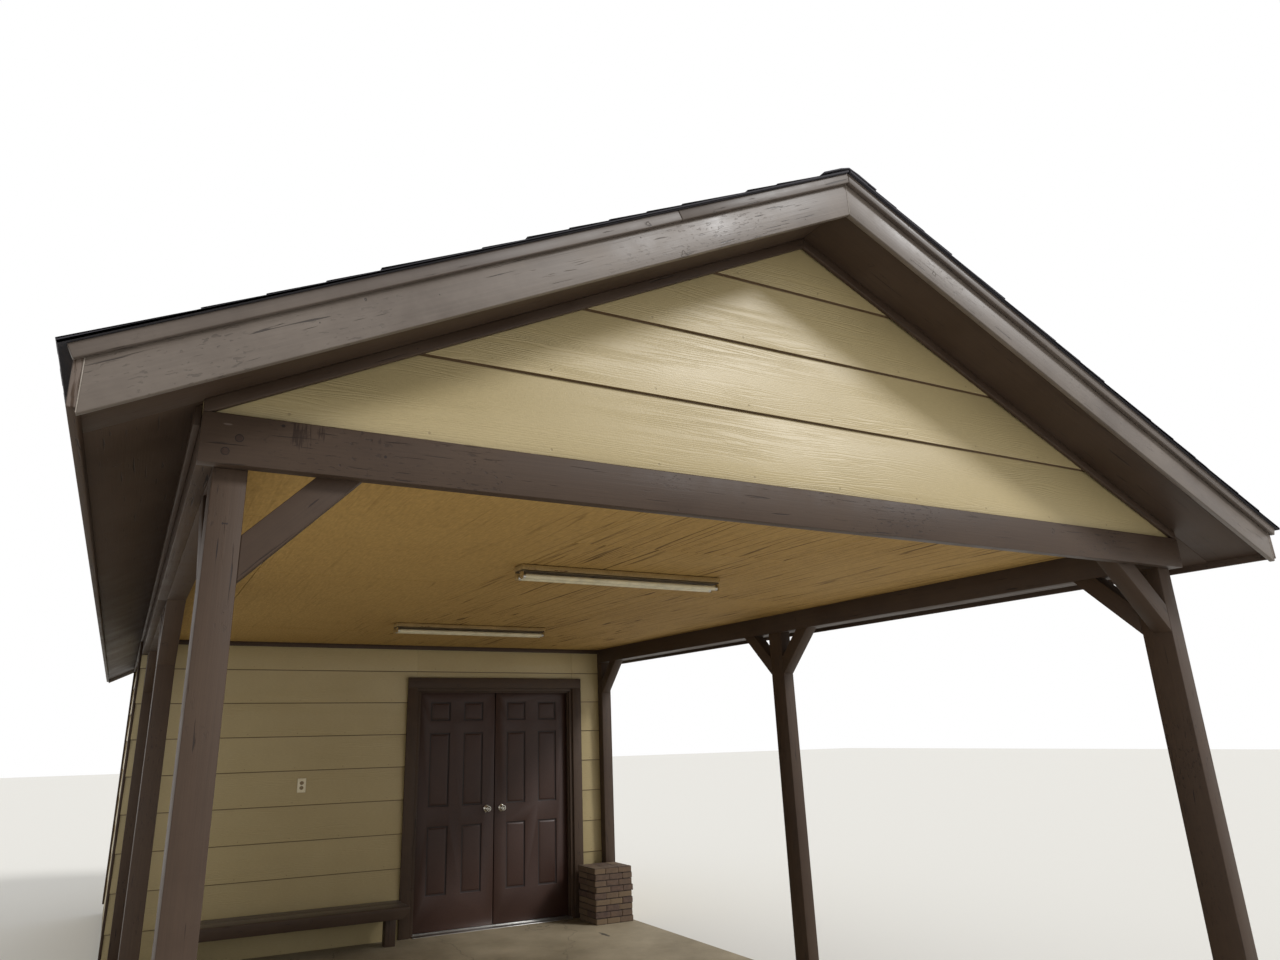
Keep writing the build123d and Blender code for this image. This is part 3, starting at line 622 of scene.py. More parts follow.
# painted boards: copies of the frame's pieces with eased edges and a grain that follows each board
boards = {
    "edge": 0.003,
    "beamEdge": 0.0012,
    "brown": ("posts", "beams", "beam_boards", "knee_braces", "corner_boards", "eave_fascias", "rake_boards",
              "rake_moulds", "rake_soffits", "eave_soffits", "rake_friezes", "eave_friezes", "ceiling_trim",
              "door_frame", "door_stops", "door_casing", "bench_seat", "bench_apron", "bench_legs"),
    "bare": ("ceiling_joists", "rafters", "ridge_board", "roof_deck"),
    "cutGap": 0.0012,
    "beamBoardCut": frontY + 2.614,  # butt joint in the boards on the side beams
    "mouldCut": -0.81,  # butt joint in the left front rake mould
    "crossRun": 0.2,  # a brace that runs farther than this across the bay is a cross brace
    "grainShift": 40,  # boards take their grain from places up to this far apart
    "squareEnough": 0.3,  # an edge whose cosine with the longest one is less shows the board's width
}


def settle(piece, slot, *replaced, material=None, body="carport"):
    if material:
        dress(piece, material)
    if replaced:
        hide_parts(*replaced)
    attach(piece, body)


def assembled(pieces, name, slot, *replaced, angle=35, **more):
    whole = joined(pieces, name)
    if angle:
        smooth(whole, angle)
    settle(whole, slot, *replaced, **more)


def copyOfNode(nodeName, pieceName):
    source = nodes[nodeName]
    piece = bpy.data.objects.new(pieceName, source.data.copy())
    bpy.context.scene.collection.objects.link(piece)
    editing(piece)
    bpy.ops.mesh.remove_doubles(threshold=0.00005)
    bpy.ops.mesh.dissolve_limited(angle_limit=math.radians(1))
    bpy.ops.mesh.normals_make_consistent(inside=False)
    done()
    return piece


def looseParts(piece):
    editing(piece)
    bpy.ops.mesh.separate(type="LOOSE")
    done()
    return list(bpy.context.selected_objects)


def copied(piece, place):
    copy = bpy.data.objects.new(piece.name, piece.data.copy())
    bpy.context.scene.collection.objects.link(copy)
    copy.data.transform(place)
    return copy


def cutAway(piece, point, normal):
    editing(piece)
    bpy.ops.mesh.bisect(plane_co=point, plane_no=normal, clear_outer=True, use_fill=True)
    done()


def middleOf(piece):
    spots = [vertex.co for vertex in piece.data.vertices]
    return Vector([(min(s[i] for s in spots) + max(s[i] for s in spots)) / 2 for i in range(3)])


def buttJoint(part, point, normal):
    normal = Vector(normal).normalized()
    half = normal * boards["cutGap"] / 2
    other = copied(part, Matrix.Identity(4))
    cutAway(part, Vector(point) - half, normal)
    cutAway(other, Vector(point) + half, -normal)
    return [part, other]


def cutBoards(nodeName, parts):
    cut = []
    for part in parts:
        middle = middleOf(part)
        if nodeName == "beam_boards" and abs(middle.x) > 1:
            cut += buttJoint(part, (middle.x, boards["beamBoardCut"], middle.z), (0, 1, 0))
        elif nodeName == "rake_moulds" and middle.x < 0 and middle.y < 0:
            x = boards["mouldCut"]
            spot = (x, middle.y, middle.z + (x - middle.x) * math.tan(roofPitch))
            cut += buttJoint(part, spot, (math.cos(roofPitch), 0, math.sin(roofPitch)))
        else:
            cut.append(part)
    return cut


# at the front only the face board hangs below the ceiling: the beam behind it stops level with the ceiling
# between the posts, and the front braces run on up to it
def raiseFrontBeam(parts):
    low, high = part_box("ceiling")
    kept = []
    for part in parts:
        if middleOf(part).y < low.y:
            for side in (-1, 1):
                end = copied(part, Matrix.Identity(4))
                cutAway(end, (side * high.x, 0, 0), (-side, 0, 0))
                kept.append(end)
                cutAway(part, (side * high.x, 0, 0), (side, 0, 0))
            cutAway(part, (0, 0, low.z), (0, 0, -1))
        kept.append(part)
    return kept


def lengthenFrontBraces(parts):
    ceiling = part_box("ceiling")[0]
    lift = ceiling.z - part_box("beams")[0].z
    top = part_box("knee_braces")[1].z
    for part in parts:
        spot = middleOf(part)
        runs = [vertex.co.x for vertex in part.data.vertices]
        if spot.y < ceiling.y and max(runs) - min(runs) > boards["crossRun"]:
            for vertex in part.data.vertices:
                if vertex.co.z > top - 0.001:
                    vertex.co += Vector((-math.copysign(lift, spot.x), 0, lift))


def markGrain(board, draw):
    mesh = board.data
    runs = [mesh.vertices[e.vertices[1]].co - mesh.vertices[e.vertices[0]].co for e in mesh.edges]
    runs.sort(key=lambda run: run.length, reverse=True)
    along = runs[0].normalized()
    across = next(run for run in runs if abs(run.normalized().dot(along)) < boards["squareEnough"])
    across = (across - along * across.dot(along)).normalized()
    out = along.cross(across)
    shift = Vector([draw.uniform(0, boards["grainShift"]) for axis in range(3)])
    grain = mesh.attributes.new("grain", "FLOAT_VECTOR", "POINT")
    for vertex, item in zip(mesh.vertices, grain.data):
        item.vector = Vector([vertex.co.dot(way) for way in (along, across, out)]) + shift


def boardPiece(nodeName, slot, material):
    draw = random.Random(nodeName)
    pieceName = nodeName + "_sawn"
    parts = cutBoards(nodeName, looseParts(copyOfNode(nodeName, pieceName)))
    if nodeName == "beams":
        parts = raiseFrontBeam(parts)
    if nodeName == "knee_braces":
        lengthenFrontBraces(parts)
    edge = boards["beamEdge"] if nodeName in ("beams", "beam_boards") else boards["edge"]
    for part in parts:
        ease(part, edge, least=25)
        markGrain(part, draw)
    assembled(parts, pieceName, slot, nodeName, material=material)


for nodeName in boards["brown"]:
    boardPiece(nodeName, "brown_paint", markedPaint.get(nodeName, brownPaint))
for nodeName in boards["bare"]:
    boardPiece(nodeName, "bare_timber", bareWood)
print("boards made")


# siding, slab and door leaves: the frame's shapes with eased edges, so that laps and panels catch the light
shell = {
    "sidingEase": 0.002,
    "slabEase": 0.01,
    "leafEase": 0.0013,
    "panelRing": (0.0088, 0.02),  # the flat ring around each raised field, painted dark as the shade in the recess, lies this deep
    "upright": 0.9,
}


def easedPiece(nodeName, pieceName, slot, material, width, body="carport", least=25):
    piece = copyOfNode(nodeName, pieceName)
    ease(piece, width, least=least)
    smooth(piece)
    settle(piece, slot, nodeName, material=material, body=body)
    return piece


for nodeName in ("room_front_left", "room_front_right", "room_front_head", "room_rear_wall",
                 "room_side_walls", "gable_rear"):
    easedPiece(nodeName, nodeName + "_siding", "tan_siding", wallSiding, shell["sidingEase"])
easedPiece("gable_front", "gable_front_siding", "tan_siding", gableSiding, shell["sidingEase"])
easedPiece("floor_slab", "cast_slab", "concrete", concrete, shell["slabEase"])


def panelledLeaf(side):
    low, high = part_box("door_" + side)
    leaf = easedPiece("door_" + side, side + "_panelled_leaf", "brown_door_paint", doorPaint,
                      shell["leafEase"], body=side + "_door_leaf", least=12)
    leaf.data.materials.append(doorGrooveShade)
    # the recess ring's faces take the painted-shade finish
    least, greatest = shell["panelRing"]
    for face in leaf.data.polygons:
        near = min(face.center.y - low.y, high.y - face.center.y)
        if abs(face.normal.y) > shell["upright"] and least < near < greatest:
            face.material_index = 1


for side in ("left", "right"):
    panelledLeaf(side)
print("siding, slab and doors made")


# laminated shingles: courses of metre-long sheets with thick tabs, laid over a flat underlay
shingles = {
    "exposure": 0.159,
    "sheetLength": 1.0,
    "sheetGap": 0.001,
    "underlay": 0.007,
    "sheet": 0.0035,
    "sheetFoot": 0.0002,  # what is left of a sheet's thickness at its upper end, under the next course
    "tab": 0.0035,
    "tabWidths": (0.09, 0.21),
    "tabGaps": (0.04, 0.12),
    "tabStart": (0, 0.05),
    "leastTab": 0.06,
    "tabSlants": (0.004, 0.012),
    "sheetTones": (0.0, 0.35),
    "tabTones": (0.3, 1.0),
    "underlayTone": 0.1,
    "patterns": 6,
    "ridgeGap": 0.003,
    "capExposure": 0.143,
    "capLap": 0.02,
    "capBend": 0.012,  # half the width over which a cap is bent instead of folded
    "capThickness": 0.005,
    "capLift": 0.003,
    "capShift": 0.003,
    "capDrop": 0.0005,
    "capTones": (0.1, 1.0),
}


def markTone(piece, value):
    tone = piece.data.attributes.new("tone", "FLOAT", "POINT")
    for item in tone.data:
        item.value = value
    return piece


def flatBlock(name, size, centre=(0, 0, 0)):
    bpy.ops.mesh.primitive_cube_add(size=1.0, location=centre)
    block = bpy.context.object
    block.name = name
    block.scale = size
    bpy.ops.object.transform_apply(location=True, rotation=True, scale=True)
    return block


def shingleSheet(number):
    draw = random.Random(100 + number)
    exposure, length, thick = shingles["exposure"], shingles["sheetLength"], shingles["sheet"]
    low = shingles["underlay"]
    base = flatBlock("sheet", (exposure, length, thick), (exposure / 2, length / 2, low + thick / 2))
    for vertex in base.data.vertices:
        if vertex.co.x > exposure / 2 and vertex.co.z > low + thick / 2:
            vertex.co.z = low + shingles["sheetFoot"]
    pieces = [markTone(base, draw.uniform(*shingles["sheetTones"]))]
    start = draw.uniform(*shingles["tabStart"])
    while start < length - shingles["leastTab"]:
        wide = min(draw.uniform(*shingles["tabWidths"]), length - start)
        tab = flatBlock("tab", (exposure, wide, shingles["tab"]),
                        (exposure / 2, start + wide / 2, low + thick + shingles["tab"] / 2))
        slant = draw.uniform(*shingles["tabSlants"])
        for vertex in tab.data.vertices:
            if vertex.co.x > exposure / 2:
                vertex.co.z -= thick
                vertex.co.y += slant if vertex.co.y > start + wide / 2 else -slant
        pieces.append(markTone(tab, draw.uniform(*shingles["tabTones"])))
        start += wide + draw.uniform(*shingles["tabGaps"])
    return joined(pieces, "shingleSheet")


def slopePlace(side, eave):
    up = Vector((-side * math.cos(roofPitch), 0, math.sin(roofPitch)))
    out = Vector((side * math.sin(roofPitch), 0, math.cos(roofPitch)))
    place = Matrix((up, out.cross(up), out)).transposed().to_4x4()
    place.translation = eave
    return place


def layShingles():
    low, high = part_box("shingles")
    reach, ridgeX = high.y, shingles["ridgeGap"]
    exposure, length, thick = shingles["exposure"], shingles["sheetLength"], shingles["underlay"]
    deckX = min(vertex.co.x for vertex in nodes["shingles"].data.vertices if vertex.co.z < low.z + 0.001)
    slopeLength = (-deckX - ridgeX) / math.cos(roofPitch)
    sheets = [shingleSheet(number) for number in range(shingles["patterns"])]
    draw = random.Random(7)
    slopes = []
    for side in (-1, 1):
        place = slopePlace(side, Vector((-side * deckX, 0, low.z)))
        underlay = flatBlock("underlay", (slopeLength, 2 * reach, thick), (slopeLength / 2, 0, thick / 2))
        underlay.data.transform(place)
        pieces = [markTone(underlay, shingles["underlayTone"])]
        for course in range(math.ceil(slopeLength / exposure)):
            start = -reach - draw.uniform(0, length)
            while start < reach:
                shift = Matrix.Translation((course * exposure, start, 0))
                pieces.append(copied(draw.choice(sheets), place @ shift))
                start += length + shingles["sheetGap"]
        slope = joined(pieces, "slope")
        cutAway(slope, (0, reach, 0), (0, 1, 0))
        cutAway(slope, (0, -reach, 0), (0, -1, 0))
        cutAway(slope, (side * ridgeX, 0, 0), (-side, 0, 0))
        slopes.append(slope)
    discard(*sheets)
    assembled(slopes, "laminated_shingles", "asphalt_shingle", "shingles", angle=None, material=granules)


def layRidgeCap():
    low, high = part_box("ridge_cap")
    exposure, lap = shingles["capExposure"], shingles["capLap"]
    bpy.ops.mesh.primitive_grid_add(x_subdivisions=6, y_subdivisions=1, size=1.0, location=(0, 0, 0))
    cap = bpy.context.object
    cap.scale = (high.x - low.x, exposure + lap, 1)
    bpy.ops.object.transform_apply(location=False, rotation=False, scale=True)
    for vertex in cap.data.vertices:
        fold = max(abs(vertex.co.x), shingles["capBend"])
        vertex.co.z = -fold * math.tan(roofPitch)
        vertex.co.z -= shingles["capLift"] if vertex.co.y > 0 else 0.0
    applyModifier(cap, "SOLIDIFY", thickness=shingles["capThickness"], offset=-1.0)
    draw = random.Random(12)
    caps = []
    y = low.y + exposure / 2 + lap / 2
    while y < high.y - exposure / 2:
        x = draw.uniform(-shingles["capShift"], shingles["capShift"])
        one = copied(cap, Matrix.Translation((x, y, high.z - shingles["capDrop"])))
        caps.append(markTone(one, draw.uniform(*shingles["capTones"])))
        y += exposure
    discard(cap)
    assembled(caps, "ridge_cap_shingles", "asphalt_shingle", "ridge_cap", angle=None, material=granules)


layShingles()
layRidgeCap()
print("shingles laid")


# dry-laid bricks: three across and two deep in each course, none quite in line
bricks = {
    "across": 3,
    "deep": 2,
    "courses": 9,
    "gap": 0.004,
    "endGap": 0.0012,
    "shift": 0.007,
    "rowShift": (-0.3, 0.6),  # of the shift
    "bond": 0.022,
    "firstStep": (0.5, 1.0),  # of the bond, to and fro from course to course
    "secondStep": (-0.3, 0.3),
    "bedGap": 0.2,  # of the gap
    "turn": 1.2,
    "ease": 0.004,
    "rough": 0.0014,
    "cuts": 4,
    "arris": (0.12, 0.97),  # the level arrises' slopes, darkened for soil and as painted shade between the courses; the ends butt too closely for soil to stay
    "patterns": 5,
}


def oneBrick(size, number):
    block = flatBlock("brick", size)
    editing(block)
    bpy.ops.mesh.subdivide(number_cuts=bricks["cuts"])
    done()
    ease(block, bricks["ease"], least=50)
    dress(block, clay)
    block.data.materials.append(clayArrisSoilAndShade)
    for face in block.data.polygons:
        if bricks["arris"][0] < abs(face.normal.z) < bricks["arris"][1]:
            face.material_index = 1
    editing(block)
    bpy.ops.transform.vertex_random(offset=bricks["rough"], seed=number)
    done()
    return block


def stackBricks():
    low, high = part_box("brick_stack")
    draw = random.Random(33)
    wide = (high.x - low.x) / bricks["across"]
    deep = (high.y - low.y) / bricks["deep"]
    tall = (high.z - low.z) / bricks["courses"]
    size = (wide - bricks["gap"], deep - bricks["gap"], tall - bricks["bedGap"] * bricks["gap"])
    patterns = [oneBrick(size, number) for number in range(bricks["patterns"])]
    laid = []
    for course in range(bricks["courses"]):
        slide = draw.uniform(-1, 1) * bricks["shift"]
        for row in range(bricks["deep"]):
            step = (1 if (course + row) % 2 else -1) * draw.uniform(*bricks["firstStep"]) * bricks["bond"]
            ends = [0.0, wide + step, 2 * wide + step + draw.uniform(*bricks["secondStep"]) * bricks["bond"],
                    bricks["across"] * wide]
            for left, right in zip(ends, ends[1:]):
                x = low.x + (left + right) / 2 + slide
                y = low.y + (row + 0.5) * deep + draw.uniform(*bricks["rowShift"]) * bricks["shift"]
                z = low.z + (course + 0.5) * tall
                turn = math.radians(draw.uniform(-bricks["turn"], bricks["turn"]))
                stretch = Matrix.Diagonal(((right - left - bricks["endGap"]) / size[0], 1, 1, 1))
                place = Matrix.Translation((x, y, z)) @ Matrix.Rotation(turn, 4, "Z") @ stretch
                one = copied(draw.choice(patterns), place)
                laid.append(markTone(one, draw.uniform(0, 1)))
    discard(*patterns)
    assembled(laid, "stacked_bricks", "brick", "brick_stack", angle=40)


stackBricks()
print("bricks stacked")


# ceiling: plywood sheets with their joints open by a saw cut, laid along the bay
ceilingSheets = {
    "width": 1.22,
    "length": 2.44,
    "firstJoint": -0.535,
    "firstEnd": 0.987,
    "gap": 0.003,
    "ease": 0.0012,
    "narrowest": 0.02,
}


def sheetLines(low, high, first, step):
    lines = [first]
    while lines[0] - step > low:
        lines.insert(0, lines[0] - step)
    while lines[-1] + step < high:
        lines.append(lines[-1] + step)
    least = ceilingSheets["narrowest"]
    return [low] + [line for line in lines if low + least < line < high - least] + [high]


def layCeiling():
    low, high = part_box("ceiling")
    gap = ceilingSheets["gap"]
    draw = random.Random(5)
    sheets = []
    acrossLines = sheetLines(low.x, high.x, ceilingSheets["firstJoint"], ceilingSheets["width"])
    for column, (left, right) in enumerate(zip(acrossLines, acrossLines[1:])):
        first = low.y + ceilingSheets["firstEnd"] + (column % 2) * ceilingSheets["length"] / 2
        ends = sheetLines(low.y, high.y, first, ceilingSheets["length"])
        for front, back in zip(ends, ends[1:]):
            sheet = flatBlock("sheet", (right - left - gap, back - front - gap, high.z - low.z),
                              ((left + right) / 2, (front + back) / 2, (low.z + high.z) / 2))
            sheets.append(markTone(ease(sheet, ceilingSheets["ease"]), draw.uniform(0, 1)))
    assembled(sheets, "plywood_ceiling", "tan_ceiling", "ceiling", angle=None, material=tanCeiling)


layCeiling()
print("ceiling laid")


# a round piece turned about Z: a disc is extruded and scaled step by step up its profile
def turned(name, foot, steps, sides):
    bpy.ops.mesh.primitive_circle_add(vertices=sides, radius=foot, fill_type="NGON", location=(0, 0, 0))
    piece = bpy.context.object
    piece.name = name
    editing(piece)
    radius, height = foot, 0.0
    for newRadius, newHeight in steps:
        bpy.ops.mesh.extrude_region_move(TRANSFORM_OT_translate={"value": (0, 0, newHeight - height)})
        bpy.ops.transform.resize(value=(newRadius / radius, newRadius / radius, 1),
                                 center_override=(0, 0, newHeight))
        radius, height = newRadius, newHeight
    bpy.ops.mesh.select_all(action="SELECT")
    bpy.ops.mesh.normals_make_consistent(inside=False)
    done()
    return piece


# a place for a turned piece that looks out to the front, or to the rear where way is -1
def facing(x, y, z, way=1):
    return Matrix.Translation((x, y, z)) @ Matrix.Rotation(way * math.pi / 2, 4, "X")


# lock knobs on both faces of each leaf, and the hinges behind
knobs = {
    "height": 0.981,
    "rose": 0.032,
    "sides": 48,
    "rosePart": ((0.032, 0.002), (0.0305, 0.0042), (0.027, 0.0058), (0.0175, 0.0066), (0.0168, 0.008),
                 (0.0125, 0.009)),
    "neckPart": ((0.0108, 0.012), (0.0108, 0.02), (0.013, 0.026)),
    "ballPart": ((0.019, 0.0305), (0.0245, 0.036), (0.0268, 0.043), (0.0265, 0.049), (0.0245, 0.054),
                 (0.0215, 0.0567), (0.0205, 0.0572), (0.0165, 0.0567), (0.0145, 0.0562), (0.0138, 0.0545),
                 (0.0128, 0.0545), (0.0122, 0.0565), (0.0085, 0.059), (0.0068, 0.0592), (0.0065, 0.0572),
                 (0.0055, 0.0572), (0.005, 0.0598), (0.003, 0.0606)),
    "lockRing": (0.0122, 0.0172, 0.05),  # the ring painted dark as shade and a dark reflection: least and greatest radius, least height
    "neckShade": (0.0135, 0.028),  # greatest radius and height of the painted shade behind the ball
    "hingeEase": 0.0004,
    "reach": 0.1,  # what lies nearer to the knobs' axis than this is a plain knob, and is left out
}


def doorFurniture(side):
    leafLow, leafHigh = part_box("door_" + side)
    nodeName = "door_" + side + "_hardware"
    low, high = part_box(nodeName)
    knobX = high.x - knobs["rose"] if side == "left" else low.x + knobs["rose"]
    kept = []
    for part in looseParts(copyOfNode(nodeName, "hinge")):
        if abs(middleOf(part).x - knobX) < knobs["reach"]:
            discard(part)
        else:
            kept.append(dress(ease(part, knobs["hingeEase"], least=40), nickel))
    steps = knobs["rosePart"] + knobs["neckPart"] + knobs["ballPart"]
    knob = dress(turned("knob", knobs["rose"], steps, knobs["sides"]), nickel)
    # painted shade and dark reflection: the lock ring and the neck behind the ball take the near-black gap
    # finish
    knob.data.materials.append(gap)
    inner, outer, bottom = knobs["lockRing"]
    neck, top = knobs["neckShade"]
    for face in knob.data.polygons:
        out, z = math.hypot(face.center.x, face.center.y), face.center.z
        if inner < out < outer and z > bottom or out < neck and z < top:
            face.material_index = 1
    for y, way in ((leafLow.y, 1), (leafHigh.y, -1)):
        kept.append(copied(knob, facing(knobX, y, leafLow.z + knobs["height"], way)))
    discard(knob)
    assembled(kept, side + "_knobs_and_hinges", "satin_nickel", nodeName, angle=32, body=side + "_door_leaf")


for side in ("left", "right"):
    doorFurniture(side)
easedPiece("frame_hinges", "frame_hinge_halves", "satin_nickel", nickel, knobs["hingeEase"], least=40)
print("door furniture made")


# threshold: an extruded sill with fine ribs along its flat top
sill = {
    "ease": 0.0012,
    "ribWidth": 0.003,
    "ribHeight": 0.0006,
    "ribEase": 0.0004,
    "ribInset": 0.004,
    "ribs": 7,
    "spacing": 0.011,
    "firstRib": 0.012,
}


def layThreshold():
    low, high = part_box("threshold")
    parts = [ease(copyOfNode("threshold", "sill"), sill["ease"], least=15)]
    rib = flatBlock("rib", (high.x - low.x - sill["ribInset"], sill["ribWidth"], 2 * sill["ribHeight"]))
    ease(rib, sill["ribEase"])
    for number in range(sill["ribs"]):
        y = roomY + sill["firstRib"] + number * sill["spacing"]
        parts.append(copied(rib, Matrix.Translation(((low.x + high.x) / 2, y, high.z))))
    discard(rib)
    assembled(parts, "ribbed_sill", "threshold_metal", "threshold", angle=30, material=aluminium)


layThreshold()


# strip lights: a folded steel channel with a cover, end caps, knockouts, lampholders and two tubes
lights = {
    "places": ((0.046, frontY + 1.714), (0.090, frontY + 4.220)),
    "length": 1.219,
    "width": 0.108,
    "depth": 0.038,
    "shadowGap": 0.003,
    "neckInset": (0.02, 0.016),
    "trayInset": (0.002, 0.0016),
    "trayEase": 0.0025,
    "coverDepth": 0.009,
    "coverInset": (0.004, 0.014),
    "coverEase": 0.004,
    "capLength": 0.034,
    "knockout": 0.0105,
    "knockoutSteps": ((0.0105, 0.0005), (0.0098, 0.0009), (0.009, 0.0005), (0.0082, 0.0009), (0.002, 0.0011)),
    "knockoutInset": 0.03,
    "knockoutSunk": 0.0011,
    "holder": (0.012, 0.024, 0.038),
    "holderRound": 0.42,  # of the holder's width, at its two lower edges
    "holderEase": 0.0007,
    "tubeRadius": 0.013,
    "tubeSpacing": 0.064,
    "tubeDrop": 0.009,
    "glassEnd": ((0.9, 0), (0.97, 0.001), (0.985, 0.004)),  # parts of the radius, each this far from the end
    "metalEnd": 0.014,
    "rustSpots": 9,
    "rustLong": (0.004, 0.02),
    "rustTall": (0.002, 0.005),
    "rustThick": 0.0012,
    "rustEase": 0.0005,
    "rustSunk": 0.0009,
    "rustRise": 0.003,
    "rustFrom": 0.03,  # the rust starts this far from the left end and thins out over the next spread
    "rustSpread": 0.22,
}


def lightChannel():
    length, width, depth = lights["length"], lights["width"], lights["depth"]
    shadow, coverDepth, capLength = lights["shadowGap"], lights["coverDepth"], lights["capLength"]
    trayDepth = depth - coverDepth - shadow
    middleZ = -shadow - trayDepth / 2

    def layer(name, inset, thick, z):
        return flatBlock(name, (length - lights[inset][0], width - lights[inset][1], thick), (0, 0, z))

    # painted shadow: a near-black strip inset under the channel's top stands for the shade between housing
    # and ceiling
    neck = dress(layer("neck", "neckInset", shadow * 2, -shadow), gap)
    tray = ease(layer("tray", "trayInset", trayDepth, middleZ), lights["trayEase"], 3)
    cover = ease(layer("cover", "coverInset", coverDepth, -depth + coverDepth / 2), lights["coverEase"], 3)
    parts = [tray, cover]
    disc = turned("knockout", lights["knockout"], lights["knockoutSteps"], 20)
    for end in (-1, 1):
        cap = flatBlock("cap", (capLength, width, trayDepth), (end * (length - capLength) / 2, 0, middleZ))
        parts.append(ease(cap, lights["trayEase"], 3))
        for side in (-1, 1):
            x = end * (length / 2 - capLength - lights["knockoutInset"])
            y = side * (width / 2 - lights["knockoutSunk"])
            parts.append(copied(disc, facing(x, y, middleZ, -side)))
    discard(disc)
    for part in parts:
        # the cover takes the darker dust-and-painted-shade finish
        dress(part, coverDustAndShade if part is cover else enamel)
    draw = random.Random(21)
    for number in range(lights["rustSpots"]):
        spotLong, spotTall = draw.uniform(*lights["rustLong"]), draw.uniform(*lights["rustTall"])
        spot = flatBlock("rustSpot", (spotLong, lights["rustThick"], spotTall))
        ease(spot, lights["rustEase"])
        x = -length / 2 + lights["rustFrom"] + abs(draw.gauss(0, lights["rustSpread"]))
        y, z = -width / 2 + lights["rustSunk"], middleZ - trayDepth / 2 + lights["rustRise"]
        spot.data.transform(Matrix.Translation((x, y, z)))
        parts.append(dress(spot, rust))
    long, wide, tall = lights["holder"]
    holder = flatBlock("holder", (long, wide, tall))
    editing(holder)
    bpy.ops.mesh.select_all(action="DESELECT")
    done()
    for edge in holder.data.edges:
        ends = [holder.data.vertices[i].co for i in edge.vertices]
        edge.select = all(end.z < 0 for end in ends) and abs(ends[0].x - ends[1].x) > long / 2
    bpy.ops.object.mode_set(mode="EDIT")
    bpy.ops.mesh.select_mode(type="EDGE")
    bpy.ops.mesh.bevel(offset=wide * lights["holderRound"], segments=6, affect="EDGES")
    bpy.ops.mesh.select_mode(type="VERT")
    done()
    dress(ease(holder, lights["holderEase"], least=50), enamel)
    for end in (-1, 1):
        for side in (-1, 1):
            spot = (end * (length - long) / 2, side * lights["tubeSpacing"] / 2, -depth - tall / 2)
            parts.append(copied(holder, Matrix.Translation(spot)))
    discard(holder)
    return joined([neck] + parts, "channel")


def lightTube():
    long = lights["length"] - 2 * lights["holder"][0]
    metal, radius = lights["metalEnd"], lights["tubeRadius"]
    glassLong = long - 2 * metal
    rise = [(radius * part, far) for part, far in lights["glassEnd"]]
    steps = rise[1:] + [(out, glassLong - far) for out, far in reversed(rise)]
    glass = dress(turned("glass", rise[0][0], steps, 32), lampGlass)
    glass.data.transform(Matrix.Translation((0, 0, -long / 2 + metal)))
    steps = ((radius, 0.0012), (radius, metal - 0.001), (radius * 0.96, metal))
    end = dress(turned("end", radius * 0.93, steps, 32), aluminium)
    parts = [glass, copied(end, Matrix.Translation((0, 0, -long / 2)))]
    end.data.transform(Matrix.Translation((0, 0, long / 2)) @ Matrix.Rotation(math.pi, 4, "X"))
    parts.append(end)
    tube = joined(parts, "tube")
    tube.data.transform(Matrix.Rotation(math.pi / 2, 4, "Y"))
    return tube


def hangLights():
    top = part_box("light_housings")[1].z
    channel, tube = lightChannel(), lightTube()
    channels, tubes = [], []
    z = top - lights["depth"] - lights["tubeDrop"] - lights["tubeRadius"]
    for x, y in lights["places"]:
        channels.append(copied(channel, Matrix.Translation((x, y, top))))
        for side in (-1, 1):
            tubes.append(copied(tube, Matrix.Translation((x, y + side * lights["tubeSpacing"] / 2, z))))
    discard(channel, tube)
    assembled(channels, "strip_light_channels", "lamp_housing", "light_housings")
    assembled(tubes, "strip_light_tubes", "lamp_glass", "light_tubes")


hangLights()
print("threshold and lights made")


# outlet: a cream cover plate, two brown receptacles with slots, and the screw between them
outlet = {
    "ease": 0.0022,
    "receptacle": (0.034, 0.028),
    "roundness": 1.12,
    "rim": 0.0006,
    "spacing": 0.039,
    "proud": 0.0012,
    "slots": ((-0.0065, 0.0022, 0.008), (0.0065, 0.0022, 0.0065)),
    "slotDepth": 0.0006,
    "slotRise": 0.003,
    "slotSunk": 0.0001,
    "groundHole": 0.0024,
    "holeSunk": 0.0003,
    "groundDrop": 0.007,
    "screw": ((0.0034, 0.0006), (0.0028, 0.001)),
    "screwRadius": 0.0036,
}


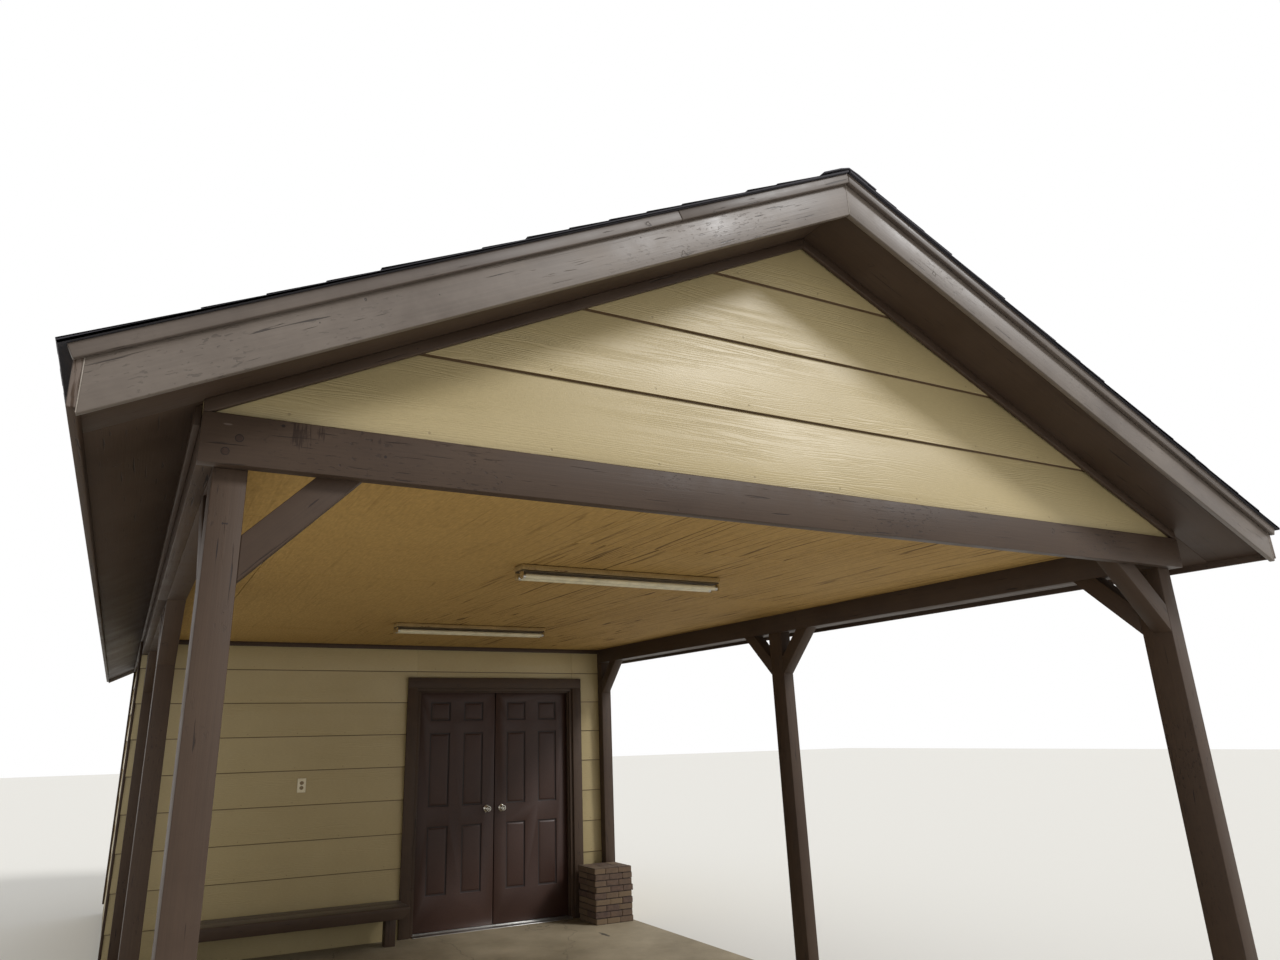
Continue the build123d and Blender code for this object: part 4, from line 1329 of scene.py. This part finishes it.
def fitOutlet():
    low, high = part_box("outlet_plate")
    proud, deep, hole = outlet["proud"], outlet["slotDepth"], outlet["groundHole"]
    x, z = (low.x + high.x) / 2, (low.z + high.z) / 2
    plate = flatBlock("plate", (high.x - low.x, high.y - low.y - proud, high.z - low.z),
                      (x, (low.y + proud + high.y) / 2, z))
    parts = [dress(ease(plate, outlet["ease"], 3), plastic)]

    def fit(piece, material, place):
        piece.data.transform(place)
        parts.append(dress(piece, material))

    wide, tall = outlet["receptacle"]
    for side in (-1, 1):
        z1 = z + side * outlet["spacing"] / 2
        steps = ((wide / 2, 2 * proud - outlet["rim"]), (wide / 2 - outlet["rim"], 2 * proud))
        face = turned("receptacle", wide / 2, steps, 32)
        face.data.transform(Matrix.Diagonal((1, tall / wide * outlet["roundness"], 1, 1)))
        fit(face, plasticDark, facing(x, low.y + 2 * proud, z1))
        for shift, slotWide, slotTall in outlet["slots"]:
            spot = (x + shift, low.y + outlet["slotSunk"], z1 + outlet["slotRise"])
            fit(flatBlock("slot", (slotWide, deep, slotTall), spot), gap, Matrix.Identity(4))
        spot = facing(x, low.y + outlet["holeSunk"], z1 - outlet["groundDrop"])
        fit(turned("hole", hole, ((hole, deep),), 12), gap, spot)
    fit(turned("screw", outlet["screwRadius"], outlet["screw"], 16), nickel, facing(x, low.y + proud, z))
    assembled(parts, "duplex_outlet", "cream_plastic", "outlet_plate")


fitOutlet()


# wood plugs over the beam's screws, and the pale caulk beads at the rake boards' feet and peak
trimDetails = {
    "plugs": ((-2.1248, 2.4747), (-2.0927, 2.5152)),
    "ringRadius": 0.0115,
    "ring": ((0.0115, 0.0004),),
    "plugRadius": 0.0095,
    "plug": ((0.0092, 0.0005), (0.0088, 0.0006), (0.004, 0.0006)),
    "rakeHeight": 0.140,
    "beadWidth": 0.0028,
    "beadProud": 0.0008,
    "beadEase": 0.0006,
    "beadInset": 0.006,
}


def addTrimDetails():
    parts = []
    for x, z in trimDetails["plugs"]:
        for name, material in (("ring", gap), ("plug", plugPaint)):
            part = turned(name, trimDetails[name + "Radius"], trimDetails[name], 24)
            part.data.transform(facing(x, frontY, z))
            parts.append(dress(part, material))
    assembled(parts, "beam_screw_plugs", "brown_paint")
    low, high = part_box("rake_boards")
    tall = trimDetails["rakeHeight"] / math.cos(roofPitch)
    size = (trimDetails["beadWidth"], 2 * trimDetails["beadProud"], tall - trimDetails["beadInset"])
    beads = []
    for y in (low.y, high.y):
        for x, z in ((low.x, low.z + tall / 2), (high.x, low.z + tall / 2), (0, high.z - tall / 2)):
            beads.append(ease(flatBlock("bead", size, (x, y, z)), trimDetails["beadEase"]))
    assembled(beads, "rake_caulk_beads", "brown_paint", material=caulk)


addTrimDetails()
print("small details made")
